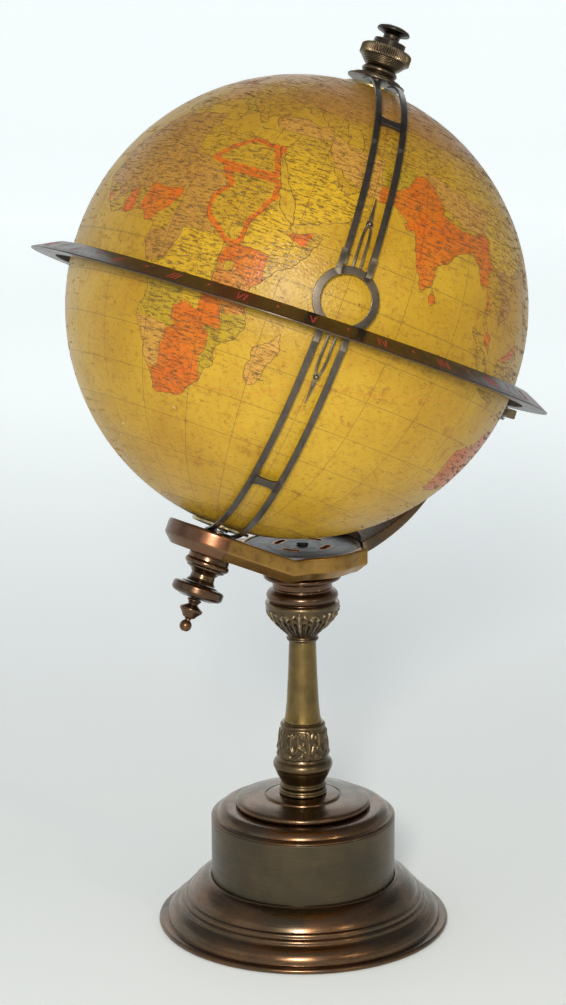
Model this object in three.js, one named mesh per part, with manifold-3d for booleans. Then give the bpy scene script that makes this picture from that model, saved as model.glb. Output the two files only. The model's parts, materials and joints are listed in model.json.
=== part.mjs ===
// Antique desktop globe on a turned bronze stand, with a swinging noon meridian and a fixed hour ring.
// Millimetres, +Z up. The origin is on the column's axis at the underside of the base, and the globe's
// pole leans toward +X. Everything that sits on the pole is built along its own Z, with the globe's
// centre as zero, and then tilted with the pole.
import * as THREE from 'three';
import { mergeVertices } from 'three/addons/utils/BufferGeometryUtils.js';
import Module from 'manifold-3d';

const wasm = await Module();
wasm.setup();

// ---- driving dimensions ----
const globeRadius = 127;                 // a 10 inch globe
const shellThickness = 3;                // papier mache and plaster under the map
const globeCentre = new THREE.Vector3(-3.2, 0, 357.7);
const axisTilt = THREE.MathUtils.degToRad(23.5);
const noonMeridian = THREE.MathUtils.degToRad(-114.2); // where the meridian stands at rest, about the pole
const gap = 0.3;                         // left between faces that touch
const baseSides = 28;                    // sides of the large turned pieces

const rodRadius = 3;                     // polar spindle
const rodBore = rodRadius + gap;
const tieRodRadius = 4;
const tieRodBore = tieRodRadius + gap;

// stand, heights above the table
const feltRadius = 76;
const feltThickness = 2;
const flangeTop = 26.5;
const webBottom = 15;                    // the floor inside the hollow base
const drumRadius = 53;
const drumTop = 63.4;
const capTop = 77;
const columnFootTop = 100;
const collarTop = 120.4;
const shaftTop = 168;
const vaseTop = 191.6;
const beadTop = 199.8;
const columnTop = 208;

// head casting
const headUnderside = 210.5;
const headTop = 224;
const headWidth = 32;                    // half width of the flat part
const headEnd = 24;                      // its square end, behind the column
const plateTop = -131.2;                 // the tilted part, along the pole
const plateUnderside = -144.3;
const bossRadius = 28;                   // its round end about the pole
const headChamfer = 5;
const dialRadius = 33;
const dialFloor = 221;
const dialBulge = 36;                    // half width of the casting round the dial
const hubRecessRadius = 19;
const hubRecessFloor = -134.6;

// arm that carries the hour ring, behind the globe
const armInner = 136;
const armRoot = 35.6;                     // degrees from the south pole
const armTop = 86.6;
const footInner = 135.4;
const footOuter = 140.6;
const footBottom = -20.2;
const footTop = -15;
const ringScrewAngle = THREE.MathUtils.degToRad(14);
const tongue = { from: 10, to: 29, halfWidth: 14, bottom: 213.6, top: 219.2 };

// hour ring: a triangle in section, with its sharp edge outside and its flat face below
const ringEdgeRadius = 148.4;
const ringBoreRadius = 134.5;
const ringUnderside = -13.6;
const ringInnerHeight = 7.5;
const ringScrewTip = ringUnderside + 3.4;
// the ring and the arm's foot lean a little about the globe's centre: up at the arm, and up on the +Y side
const ringLean = new THREE.Matrix4().makeRotationY(THREE.MathUtils.degToRad(-2.57))
  .multiply(new THREE.Matrix4().makeRotationX(THREE.MathUtils.degToRad(1.3)));

// noon meridian
const railInner = 130;
const railOuter = 131.3;
const railWidth = 3.4;
const railOffset = 7.2;                  // from the middle of the band to the middle of a rail
const pointerRingOuter = 17.1;
const pointerRingInner = 13;
const overlayInner = railOuter + gap + 0.1;
const overlayOuter = overlayInner + 1.3;
const crossBarLatitude = 48.5;
const capRadius = 16.4;                  // brass polar caps

// ---- shape helpers ----
const radians = THREE.MathUtils.degToRad;

// Joins the shared corners, drops empty triangles and turns the faces outward.
function weld(geometry) {
  geometry.deleteAttribute('normal');
  geometry.deleteAttribute('uv');
  const merged = mergeVertices(geometry, 1e-4);
  const index = merged.index.array;
  const position = merged.attributes.position;
  const a = new THREE.Vector3();
  const b = new THREE.Vector3();
  const c = new THREE.Vector3();
  const kept = [];
  let volume = 0;
  for (let i = 0; i < index.length; i += 3) {
    const corners = [index[i], index[i + 1], index[i + 2]];
    if (new Set(corners).size < 3) continue;
    kept.push(...corners);
    a.fromBufferAttribute(position, corners[0]);
    b.fromBufferAttribute(position, corners[1]);
    c.fromBufferAttribute(position, corners[2]);
    volume += a.dot(b.cross(c));
  }
  merged.setIndex(volume < 0 ? kept.reverse() : kept);
  return merged;
}

function solid(geometry) {
  const welded = weld(geometry);
  return new wasm.Manifold(new wasm.Mesh({
    numProp: 3,
    vertProperties: new Float32Array(welded.attributes.position.array),
    triVerts: new Uint32Array(welded.index.array),
  }));
}

function surface(body) {
  const { vertProperties, triVerts } = body.getMesh();
  const geometry = new THREE.BufferGeometry();
  geometry.setAttribute('position', new THREE.BufferAttribute(new Float32Array(vertProperties), 3));
  geometry.setIndex(new THREE.BufferAttribute(new Uint32Array(triVerts), 1));
  return geometry;
}

function join(...geometries) {
  return surface(geometries.map(solid).reduce((whole, next) => whole.add(next)));
}

function cut(geometry, ...tools) {
  return surface(tools.map(solid).reduce((whole, next) => whole.subtract(next), solid(geometry)));
}

// An arc in a turned outline: centre [radius, height], and the angles it runs between in degrees.
function arc(centre, radius, from, to, steps = Math.ceil(Math.abs(to - from) / 36)) {
  return Array.from({ length: steps + 1 }, (_, i) => {
    const angle = radians(from + (to - from) * i / steps);
    return [centre[0] + radius * Math.cos(angle), centre[1] + radius * Math.sin(angle)];
  });
}

// A piece turned about Z from [radius, height] corners. Off the axis the outline closes on itself.
function turned(corners, sides = 16) {
  const points = corners.map(([radius, height]) => new THREE.Vector2(radius, height));
  if (points[0].x > 0) points.push(points[0].clone());
  return weld(new THREE.LatheGeometry(points, sides).rotateX(Math.PI / 2));
}

function disc(radius, bottom, top, sides) {
  return turned([[0, bottom], [radius, bottom], [radius, top], [0, top]], sides);
}

function tube(inner, outer, bottom, top, sides) {
  return turned([[inner, bottom], [outer, bottom], [outer, top], [inner, top]], sides);
}

// A turned piece with teeth: every second side between two heights is cut in by the depth.
function toothed(corners, teeth, bottom, top, depth) {
  const geometry = turned(corners, teeth * 2);
  const position = geometry.attributes.position;
  for (let i = 0; i < position.count; i++) {
    const x = position.getX(i);
    const y = position.getY(i);
    const radius = Math.hypot(x, y);
    const step = Math.round((Math.atan2(y, x) + Math.PI) / (Math.PI / teeth));
    const onRim = position.getZ(i) > bottom && position.getZ(i) < top && radius > rodBore + 3;
    if (onRim && step % 2) position.setXY(i, x * (1 - depth / radius), y * (1 - depth / radius));
  }
  return geometry;
}

// A closed solid through a row of sections with the same number of corners, filled at both ends,
// or joined end to end when it goes all the way round.
function loft(sections, allRound = false) {
  const corners = sections[0].length;
  const index = [];
  const spans = allRound ? sections.length : sections.length - 1;
  for (let s = 0; s < spans; s++) {
    const next = ((s + 1) % sections.length) * corners;
    for (let c = 0; c < corners; c++) {
      const a = s * corners + c;
      const b = s * corners + (c + 1) % corners;
      index.push(a, b, next + c, b, next + (c + 1) % corners, next + c);
    }
  }
  const last = (sections.length - 1) * corners;
  for (let c = 1; c + 1 < corners && !allRound; c++) {
    index.push(0, c + 1, c, last, last + c, last + c + 1);
  }
  const geometry = new THREE.BufferGeometry();
  const numbers = sections.flat().flatMap((point) => point.toArray());
  geometry.setAttribute('position', new THREE.Float32BufferAttribute(numbers, 3));
  geometry.setIndex(index);
  return weld(geometry);
}

function hexNut(acrossCorners, bore, bottom, top) {
  const outline = new THREE.Shape();
  for (let i = 0; i < 6; i++) {
    const angle = radians(60 * i);
    const corner = [acrossCorners / 2 * Math.cos(angle), acrossCorners / 2 * Math.sin(angle)];
    if (i) outline.lineTo(...corner);
    else outline.moveTo(...corner);
  }
  outline.holes.push(new THREE.Path().absarc(0, 0, bore, 0, 2 * Math.PI, true));
  const depth = top - bottom;
  return weld(new THREE.ExtrudeGeometry(outline, { depth, bevelEnabled: false, curveSegments: 12 })
    .translate(0, 0, bottom));
}

// A slotted screw: its shank runs from the tip to under the head, and the head stands on beyond.
function screw(radius, headRadius, tip, underHead, headHeight) {
  const up = Math.sign(underHead - tip);
  const profile = [[0, tip], [radius, tip], [radius, underHead], [headRadius, underHead],
    [headRadius, underHead + up * headHeight * 0.6], [headRadius * 0.7, underHead + up * headHeight],
    [0, underHead + up * headHeight]];
  return turned(profile, 16);
}

// ---- materials ----
function metal(colour, roughness, metalness) {
  return new THREE.MeshStandardMaterial({ color: colour, roughness, metalness });
}
const darkBronze = metal(0x4a3a26, 0.38, 0.85);
const goldenBronze = metal(0x7a6030, 0.42, 0.85);
const blackenedBrass = metal(0x2c241c, 0.45, 0.8);
const paleBrass = metal(0xb89a55, 0.35, 0.9);
const greyDial = metal(0x77797c, 0.5, 0.7);
const steel = metal(0x7d7d7a, 0.4, 0.9);
const mapPaper = new THREE.MeshStandardMaterial({ color: 0xb08a1e, roughness: 0.45, metalness: 0 });
const papierMache = new THREE.MeshStandardMaterial({ color: 0xa08a68, roughness: 0.9, metalness: 0 });
const greenFelt = new THREE.MeshStandardMaterial({ color: 0x30402c, roughness: 1, metalness: 0 });

function piece(name, geometry, material) {
  const mesh = new THREE.Mesh(geometry, material);
  mesh.name = name;
  return mesh;
}

// ---- stand ----
function baseFlange() {
  return turned([
    [tieRodBore, webBottom], [66, webBottom], [70, 2.4], [feltRadius + 1, 2.4], [feltRadius + 1, 0.5],
    [82.6, 0.5], ...arc([82.4, 1.9], 1.5, -60, 90), [79.6, 3.4],
    ...arc([71, 3.6], 8, 0, 80), [70.6, 12], [69, 14.2], [68.4, 17.4], [66.8, 18.9],
    ...arc([58, 14.9], 8.6, 28, 62), ...arc([66, 30.5], 10.4, 232, 202), [54.6, flangeTop],
    [tieRodBore, flangeTop],
  ], baseSides);
}

function baseCap() {
  return turned([
    [tieRodBore, drumTop + gap], [drumRadius, drumTop + gap], [drumRadius, 64.3],
    [52.2, 64.9], [50.6, 65.4], ...arc([43.6, 63.4], 6.6, 18, 92), [37.6, 70.1],
    ...arc([37.4, 71.7], 1.5, -60, 80), [33, 73.9], [27, 74.9], [21.8, 75.5], [21.4, 75.2],
    [20.6, 75.7], [14, capTop], [tieRodBore, capTop],
  ], baseSides);
}

function columnFoot() {
  const bottom = capTop + gap;
  return turned([
    [tieRodBore, bottom], [13.6, bottom], [13.8, 78.3], ...arc([12.4, 79.6], 1.3, -30, 80, 3),
    [12.1, 81.4], ...arc([12.4, 82.4], 1.2, -50, 60, 3), [12.5, 84], [13.6, 86.4], [15.4, 89.6],
    ...arc([13.2, 94.6], 3.9, -40, 60, 5), [14.6, 99], [14.4, columnFootTop - gap],
    [tieRodBore, columnFootTop - gap],
  ]);
}

function leafCollar() {
  return turned([
    [tieRodBore, columnFootTop], [15, columnFootTop], [15.3, 102.5], [15.1, 109], [14.5, 114.4],
    [13.2, 117], [12.8, 118.6], [11.6, collarTop - gap], [tieRodBore, collarTop - gap],
  ]);
}

function columnShaft() {
  return turned([
    [tieRodBore, collarTop], [10.8, collarTop], [10, 124], [9.2, 132], [8.3, 150], [7.7, shaftTop - gap],
    [tieRodBore, shaftTop - gap],
  ]);
}

function capitalVase() {
  return turned([
    [tieRodBore, shaftTop], [8.4, shaftTop], ...arc([8.2, 169.3], 1, -70, 70, 3), [8.4, 170.8], [10.4, 172.6],
    [13.2, 175.2], [16.4, 178.2], [19, 181.4], [20.4, 184.6], [21.2, 189.6], [20.8, vaseTop - gap],
    [tieRodBore, vaseTop - gap],
  ]);
}

function capitalBead() {
  return turned([
    [tieRodBore, vaseTop], [18.9, vaseTop], ...arc([18, 194.2], 2.4, -80, 60), [17.6, 197.2],
    [17.1, beadTop - gap], [tieRodBore, beadTop - gap],
  ]);
}

function columnFlange() {
  return turned([
    [tieRodBore, beadTop], [16.9, beadTop], [17.6, 202.4], [20.6, 204.4],
    ...arc([20.6, 206], 1.5, -60, 70, 3), [19, columnTop], [tieRodBore, columnTop],
  ]);
}

function tieRod() {
  const top = beadTop - 3;
  return turned([[0, 5.5], [3.6, 5.5], [tieRodRadius, 6], [tieRodRadius, top], [0, top]], 20);
}

function swivelPin() {
  const underHead = 217.2;
  return turned([[0, beadTop], [tieRodRadius, beadTop], [tieRodRadius, underHead], [8, underHead],
    [8, dialFloor - gap], [1.8, dialFloor - gap], [1.8, 218.5], [0, 218.5]], 24);
}

// The grey dial has four kidney slots round its screw.
function calendarDial() {
  const outline = new THREE.Shape().absarc(0, 0, dialRadius, 0, 2 * Math.PI, false);
  outline.holes.push(new THREE.Path().absarc(0, 0, 1.8, 0, 2 * Math.PI, true));
  const slotCount = 4;
  for (let i = 0; i < slotCount; i++) {
    const middle = radians(30 + 360 / slotCount * i);
    const half = radians(21);
    const slot = new THREE.Path();
    slot.absarc(0, 0, 16.4, middle - half, middle + half, false);
    slot.absarc(0, 0, 13, middle + half, middle - half, true);
    slot.closePath();
    outline.holes.push(slot);
  }
  const depth = headTop - 0.4 - dialFloor - gap;
  return weld(new THREE.ExtrudeGeometry(outline, { depth, bevelEnabled: false, curveSegments: 9 })
    .translate(0, 0, dialFloor + gap));
}

const stand = new THREE.Group();
stand.add(
  piece('felt_pad', disc(feltRadius, 0, feltThickness, baseSides), greenFelt),
  piece('base_flange', baseFlange(), darkBronze),
  piece('base_drum', tube(drumRadius - 3, drumRadius, flangeTop + gap, drumTop, baseSides), darkBronze),
  piece('base_cap', baseCap(), darkBronze),
  piece('tie_washer', tube(tieRodBore, 12, webBottom - gap - 1.5, webBottom - gap, 24), steel),
  piece('tie_nut', hexNut(14, tieRodBore, 7, webBottom - 2 * gap - 1.5), steel),
  piece('tie_rod', tieRod(), steel),
  piece('column_foot', columnFoot(), darkBronze),
  piece('leaf_collar', leafCollar(), goldenBronze),
  piece('column_shaft', columnShaft(), goldenBronze),
  piece('capital_vase', capitalVase(), goldenBronze),
  piece('capital_bead', capitalBead(), darkBronze),
  piece('column_flange', columnFlange(), darkBronze),
  piece('swivel_washer', tube(tieRodBore, 15, columnTop + gap, headUnderside - gap, 32), paleBrass),
  piece('swivel_pin', swivelPin(), steel),
  piece('calendar_dial', calendarDial(), greyDial),
  piece('dial_screw', screw(1.5, 3.4, 218.8, headTop - 0.1, 1.2), steel),
);

// ---- head casting: a flat part over the column and a tilted part square to the pole ----
const polar = new THREE.Group();
polar.position.copy(globeCentre);
polar.rotation.y = axisTilt;
polar.updateMatrixWorld();

// A point given across and along the pole, in the stand's own directions.
function onPole(across, along) {
  return new THREE.Vector3(across, 0, along).applyMatrix4(polar.matrixWorld);
}

// Where a plane square to the pole meets a height above the table.
function bendAt(along, height) {
  const reach = (along - (height - globeCentre.z) * Math.cos(axisTilt)) / Math.sin(axisTilt);
  return new THREE.Vector3(globeCentre.x + reach, 0, height);
}

function headSection(top, bottom, halfWidth) {
  const chamfer = Math.min(headChamfer, halfWidth / 2);
  const crease = bottom.clone().lerp(top, headChamfer / top.distanceTo(bottom));
  const half = [[top, halfWidth], [crease, halfWidth], [bottom, halfWidth - chamfer]];
  const side = (sign) => half.map(([point, width]) => new THREE.Vector3(point.x, sign * width, point.z));
  return [...side(-1), ...side(1).reverse()];
}

function headCasting() {
  const sections = [];
  const flatStops = [headEnd, 16.5, 13, 9, 4.5, 0, -4.5, -9, -13, -16.5];
  for (const x of flatStops) {
    const round = Math.sqrt(Math.max(dialBulge ** 2 - x ** 2, 0));
    const width = Math.abs(x) < 20 ? Math.max(round, headWidth) : headWidth - 1;
    const top = new THREE.Vector3(x, 0, headTop);
    const underside = new THREE.Vector3(x, 0, headUnderside);
    sections.push(headSection(top, underside, width));
  }
  const bendTop = bendAt(plateTop, headTop);
  const bendBottom = bendAt(plateUnderside, headUnderside);
  sections.push(headSection(bendTop, bendBottom, headWidth - 0.5));
  const shoulder = Math.acos(-8 / bossRadius);
  const stops = 9;
  for (let i = 0; i <= stops; i++) {
    const angle = shoulder + (Math.PI - 0.16 - shoulder) * i / stops;
    const across = bossRadius * Math.cos(angle);
    const top = onPole(across, plateTop);
    const underside = onPole(across, plateUnderside);
    sections.push(headSection(top, underside, bossRadius * Math.sin(angle)));
  }
  const poleTool = (geometry) => geometry.applyMatrix4(polar.matrixWorld);
  const slot = new THREE.BoxGeometry(headEnd - tongue.from + 10, 2 * tongue.halfWidth + 2 * gap,
    tongue.top - tongue.bottom + 2 * gap);
  slot.translate((headEnd + tongue.from + 10) / 2 - gap, 0, (tongue.top + tongue.bottom) / 2);
  const screwHoles = [-1, 1].map((side) => disc(1.8 + gap, headUnderside - 5, tongue.bottom + 1, 16)
    .translate(18, side * 8, 0));
  return cut(loft(sections),
    disc(dialRadius + gap, dialFloor, headTop + 30, 36),
    disc(tieRodBore, headUnderside - 5, dialFloor + 5, 24),
    disc(8 + gap, 217, dialFloor + 5, 32),
    poleTool(disc(hubRecessRadius, hubRecessFloor, plateTop + 20, 24)),
    poleTool(disc(rodBore, plateUnderside - 20, plateTop + 20, 20)),
    slot, ...screwHoles);
}

// Moves a piece from the pole to one of the two screws that hold the hour ring on the arm's foot.
function atRingScrew(geometry, side) {
  const reach = (footInner + footOuter) / 2;
  return geometry.translate(reach * Math.cos(ringScrewAngle), side * reach * Math.sin(ringScrewAngle), 0);
}

// The arm is a strap bent round the globe's centre. Its root is a tongue let into the casting, and its
// top is a short curved foot under the hour ring.
function ringArm() {
  const polePoint = (radius, degrees, offset) => {
    const reach = Math.sqrt(radius ** 2 - offset ** 2);
    return new THREE.Vector3(reach * Math.sin(radians(degrees)), offset, -reach * Math.cos(radians(degrees)));
  };
  const stops = 12;
  const strap = [];
  for (let i = 0; i <= stops; i++) {
    const part = i / stops;
    const degrees = armRoot + (armTop - armRoot) * part;
    const outer = armInner + 3.6 + 4 * (1 - part) ** 2;
    const width = 11 + 12.5 * Math.max(0, 1 - part / 0.52) ** 0.7;
    const across = [-width, -width / 2, 0, width / 2, width];
    strap.push([...across.map((y) => polePoint(armInner, degrees, y)),
      ...across.map((y) => polePoint(outer, degrees, y)).reverse()]);
  }
  const foot = [];
  for (let degrees = -20; degrees <= 20; degrees += 5) {
    const corner = (radius, along) => new THREE.Vector3(
      radius * Math.cos(radians(degrees)), radius * Math.sin(radians(degrees)), along);
    foot.push([corner(footInner, footBottom), corner(footOuter, footBottom), corner(footOuter, footTop),
      corner(footInner, footTop)]);
  }
  const pads = [-1, 1].map((side) => atRingScrew(disc(2.6, footTop - 1, ringUnderside - gap, 12), side));
  const holes = [-1, 1].map((side) => atRingScrew(disc(1.6, footBottom - 1, ringUnderside, 12), side));
  const leaned = (geometry) => geometry.applyMatrix4(ringLean);
  const onPoleParts = cut(join(loft(strap), ...[loft(foot), ...pads].map(leaned)), ...holes.map(leaned));
  const root = new THREE.BoxGeometry(
    tongue.to - tongue.from, 2 * tongue.halfWidth, tongue.top - tongue.bottom);
  root.translate((tongue.to + tongue.from) / 2, 0, (tongue.top + tongue.bottom) / 2);
  return cut(join(onPoleParts.applyMatrix4(polar.matrixWorld), root),
    disc(dialRadius + gap, dialFloor, headTop + 10, 36));
}

const head = new THREE.Group();
head.add(
  piece('head_casting', headCasting(), goldenBronze),
  piece('ring_arm', ringArm(), darkBronze),
);
for (const side of [-1, 1]) {
  const armScrew = screw(1.5, 2.8, tongue.bottom - gap, headUnderside - gap, 0.1).translate(18, side * 8, 0);
  head.add(piece(side < 0 ? 'arm_screw_left' : 'arm_screw_right', armScrew, steel));
}

// ---- on the pole: fixed pieces of the head ----
function hourRing() {
  const blank = turned([[ringBoreRadius, ringUnderside], [ringEdgeRadius, ringUnderside],
    [ringEdgeRadius, ringUnderside + 0.6], [ringBoreRadius + 0.5, ringUnderside + ringInnerHeight],
    [ringBoreRadius, ringUnderside + ringInnerHeight]], 72);
  const holeTop = ringScrewTip + 0.4;
  const holes = [-1, 1].map((side) => atRingScrew(disc(1.6, ringUnderside - 1, holeTop, 12), side));
  return cut(blank, ...holes).applyMatrix4(ringLean);
}

function ringScrew(side) {
  return atRingScrew(screw(1.3, 2.6, ringScrewTip, footBottom - gap, 1.6), side).applyMatrix4(ringLean);
}

function lowerCollar() {
  const top = plateUnderside - gap;
  return turned([
    [rodBore, top], [11.4, top], [11.6, -146.8], ...arc([10.7, -149.2], 1.9, 60, -50), [10.8, -151.4],
    [10.6, -152.2], [8, -153.4], [6.7, -155.4], [7, -158], [8.6, -160.2], [rodBore, -160.2],
  ]);
}

function polarSpindle() {
  const shoulder = -166;
  return turned([[0, -172], [1.4, -172], [1.4, shoulder], [rodRadius, shoulder], [rodRadius, 157.4],
    [0, 157.4]], 16);
}

polar.add(
  piece('hour_ring', hourRing(), blackenedBrass),
  piece('ring_screw_left', ringScrew(-1), steel),
  piece('ring_screw_right', ringScrew(1), steel),
  piece('lower_collar', lowerCollar(), darkBronze),
  piece('polar_spindle', polarSpindle(), steel),
  piece('hex_nut', hexNut(20.4, rodBore, 151.6, 155.5), darkBronze),
);

// ---- on the pole: the globe ----
function hemisphere() {
  const poleHole = 9;
  const seam = 0.1;
  const steps = 7;
  const edge = (radius) => THREE.MathUtils.radToDeg(Math.acos(poleHole / radius));
  const inner = globeRadius - shellThickness;
  return turned([...arc([0, 0], globeRadius, seam, edge(globeRadius), steps),
    ...arc([0, 0], inner, edge(inner), seam, steps)], baseSides);
}

function polarCap() {
  const edge = (radius, reach) => THREE.MathUtils.radToDeg(Math.acos(reach / radius));
  const outer = globeRadius + 1.9;
  const inner = globeRadius + gap;
  return turned([...arc([0, 0], inner, edge(inner, 5.3), edge(inner, capRadius), 3),
    ...arc([0, 0], outer, edge(outer, capRadius), edge(outer, 5.3), 3)], 24);
}

function poleBush() {
  const shoulder = globeRadius - 0.5;
  return turned([
    [rodBore, 118], [8.7, 118], [8.7, shoulder], [5, shoulder], [5, 129.6], [rodBore, 129.6],
  ], 24);
}

// The globe's two ends are alike, so the south ones are the north ones turned over.
const southward = new THREE.Matrix4().makeRotationX(Math.PI);
polar.add(
  piece('globe_north_shell', hemisphere(), mapPaper),
  piece('globe_south_shell', hemisphere().applyMatrix4(southward), mapPaper),
  piece('north_cap', polarCap(), paleBrass),
  piece('south_cap', polarCap().applyMatrix4(southward), paleBrass),
  piece('north_bush', poleBush(), steel),
  piece('south_bush', poleBush().applyMatrix4(southward), steel),
  piece('inner_tube', tube(6, 8.7, -117.7, 117.7, 24), papierMache),
);

// ---- on the pole: the noon meridian, built round the middle of its band on +X ----
function bandPoint(radius, latitude, offset) {
  const angle = radians(latitude);
  return new THREE.Vector3(radius * Math.cos(angle), offset, radius * Math.sin(angle));
}

// A flat strip bent along the meridian between two latitudes.
function strip(inner, outer, offset, width, from, to, steps) {
  return loft(Array.from({ length: steps + 1 }, (_, i) => {
    const latitude = from + (to - from) * i / steps;
    return [bandPoint(inner, latitude, offset - width / 2), bandPoint(outer, latitude, offset - width / 2),
      bandPoint(outer, latitude, offset + width / 2), bandPoint(inner, latitude, offset + width / 2)];
  }));
}

// The bar across the band is narrow in the middle and flares into the rails.
function crossBar() {
  const reach = railOffset;
  const stops = [-1, -0.7, -0.4, 0, 0.4, 0.7, 1];
  return loft(stops.map((stop) => {
    const half = radians(1.1) * railInner * (1 + 0.9 * Math.abs(stop) ** 3);
    const rise = THREE.MathUtils.radToDeg(half / railInner);
    return [bandPoint(railInner, crossBarLatitude - rise, stop * reach),
      bandPoint(railOuter, crossBarLatitude - rise, stop * reach),
      bandPoint(railOuter, crossBarLatitude + rise, stop * reach),
      bandPoint(railInner, crossBarLatitude + rise, stop * reach)];
  }));
}

// Two rails and their cross bar, from beside the pointer ring to the hub.
function band() {
  const nearHub = 87;
  const rail = (side) => strip(railInner, railOuter, side * railOffset, railWidth, 7.3, nearHub, 18);
  return join(rail(-1), rail(1), crossBar());
}

// A ring bent to the globe's curve, with four stubs that lie on the rails' ends.
function pointerRing() {
  const ringPoint = (radius, reach, angle) => {
    const along = reach / radius;
    return new THREE.Vector3(Math.cos(along), Math.sin(along) * Math.cos(angle),
      Math.sin(along) * Math.sin(angle)).multiplyScalar(radius);
  };
  const sides = 40;
  const ring = loft(Array.from({ length: sides }, (_, i) => {
    const angle = 2 * Math.PI * i / sides;
    return [
      ringPoint(overlayInner, pointerRingInner, angle),
      ringPoint(overlayInner, pointerRingOuter, angle),
      ringPoint(overlayOuter, pointerRingOuter, angle),
      ringPoint(overlayOuter, pointerRingInner, angle),
    ];
  }), true);
  const stubs = [];
  for (const end of [-1, 1]) {
    for (const side of [-1, 1]) {
      const offset = end > 0 && side < 0 ? -railOffset - 1.4 : side * railOffset;
      stubs.push(strip(overlayInner, overlayOuter, offset, railWidth - 0.4, end * 6, end * 10.6, 2));
    }
  }
  return join(ring, ...stubs);
}

// A pointer: two thin legs from under the ring meet at a small round eye, and a needle goes on from it.
function pointer() {
  const thin = 1.1;
  const eyeLatitude = 18;
  const legs = [-1, 1].map((side) => {
    const sections = [[6.2, 1.9], [14, 1.9], [16.6, 1.5], [eyeLatitude, 0.5]].map(([latitude, offset]) => {
      const near = side * offset - 0.55;
      return [bandPoint(railInner, latitude, near), bandPoint(railInner + thin, latitude, near),
        bandPoint(railInner + thin, latitude, near + 1.1), bandPoint(railInner, latitude, near + 1.1)];
    });
    return loft(sections);
  });
  const needle = loft([[eyeLatitude, 0.9], [24.6, 0.25]].map(([latitude, half]) => [
    bandPoint(railInner, latitude, -half), bandPoint(railInner + thin, latitude, -half),
    bandPoint(railInner + thin, latitude, half), bandPoint(railInner, latitude, half)]));
  const eye = disc(1.7, -0.1, thin + 0.3, 12).rotateY(Math.PI / 2)
    .applyMatrix4(new THREE.Matrix4().makeRotationY(-radians(eyeLatitude)).multiply(
      new THREE.Matrix4().makeTranslation(railInner, 0, 0)));
  return join(...legs, needle, eye);
}

function northHub() {
  const bottom = railOuter + 0.4;
  return turned([
    [rodBore, bottom], [capRadius, bottom], [capRadius, 132.8], [13.6, 133], [13.6, 134.3], [11.2, 134.6],
    [10.2, 135.6], [8.9, 136.4], ...arc([8.6, 138], 1.5, -60, 60, 4), [8.2, 140.4], [rodBore, 140.4],
  ]);
}

function southHub() {
  return toothed([
    [rodBore, -134.2], [17.2, -134.2], [17.2, -132.1], [16.6, -131.7], [7, -131.7], [7, -130],
    [rodBore, -130],
  ], 20, -134.3, -132, 0.6);
}

const meridian = new THREE.Group();
meridian.rotation.z = noonMeridian;
meridian.add(
  piece('north_hub', northHub(), darkBronze),
  piece('south_hub', southHub(), blackenedBrass),
  piece('upper_band', band(), blackenedBrass),
  piece('lower_band', band().applyMatrix4(southward), blackenedBrass),
  piece('pointer_ring', pointerRing(), blackenedBrass),
  piece('upper_pointer', pointer(), blackenedBrass),
  piece('lower_pointer', pointer().applyMatrix4(southward), blackenedBrass),
);
polar.add(meridian);

// ---- on the pole: nuts and knobs ----
function knurledNut() {
  return toothed([
    [rodBore, 140.7], [9.4, 140.7], [11.2, 142.8], [13, 144.9],
    [14.4, 145.5], [14.4, 150.5], [13.6, 151.3], [rodBore, 151.3],
  ], 20, 145.2, 150.7, 0.5);
}

function mushroomKnob() {
  return turned([
    [0, 157.8], [rodBore, 157.8], [rodBore, 155.9], [5, 155.9], [4.6, 157], [4.7, 159], [7, 160.2],
    [9.2, 161], [9.5, 161.8], [8.8, 162.9], [6, 164.1], [3, 164.6], [0, 164.7],
  ]);
}

function discKnob() {
  return turned([
    [rodBore, -160.6], [9.6, -160.6], [10.4, -161.4], [13.6, -161.8], [14.5, -162.8], [14.5, -166.2],
    [13.2, -167.6], [8.6, -169], [rodBore, -169],
  ]);
}

function lowerFinial() {
  return turned([
    [1.7, -169.4], [3.4, -169.4], [4.2, -170.3], [3.2, -171.2], [2.6, -172.6], [4.6, -173.8], [6.5, -174.9],
    [6.4, -176.2], [4.4, -178.4], [3.4, -180], [1.7, -180.8], [1.6, -181.6], [2.8, -182.6],
    [3.4, -184.6], [2.8, -186.6], [1.4, -187.8], [0, -188.1], [0, -172.6], [1.7, -172.6],
  ]);
}

polar.add(
  piece('knurled_nut', knurledNut(), darkBronze),
  piece('mushroom_knob', mushroomKnob(), blackenedBrass),
  piece('disc_knob', discKnob(), darkBronze),
  piece('lower_finial', lowerFinial(), darkBronze),
);

const globeOnStand = new THREE.Group();
globeOnStand.add(stand, head, polar);

export default globeOnStand;
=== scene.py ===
import json
import math
import random

import bpy
import numpy as np
from mathutils import Matrix, Vector


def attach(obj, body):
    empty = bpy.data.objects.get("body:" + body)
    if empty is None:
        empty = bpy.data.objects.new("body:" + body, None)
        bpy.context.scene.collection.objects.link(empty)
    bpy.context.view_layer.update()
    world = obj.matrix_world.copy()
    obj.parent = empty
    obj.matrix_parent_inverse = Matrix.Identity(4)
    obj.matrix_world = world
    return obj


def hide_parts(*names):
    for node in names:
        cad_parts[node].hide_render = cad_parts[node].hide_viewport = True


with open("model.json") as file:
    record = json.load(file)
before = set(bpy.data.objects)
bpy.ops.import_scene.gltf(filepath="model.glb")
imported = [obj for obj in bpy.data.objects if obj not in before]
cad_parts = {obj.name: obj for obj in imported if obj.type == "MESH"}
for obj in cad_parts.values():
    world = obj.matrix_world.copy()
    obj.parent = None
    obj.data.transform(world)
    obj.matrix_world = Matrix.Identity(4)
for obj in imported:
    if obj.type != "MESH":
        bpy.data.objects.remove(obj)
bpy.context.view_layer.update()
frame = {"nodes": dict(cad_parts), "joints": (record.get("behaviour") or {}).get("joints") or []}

MM = 0.001

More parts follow.
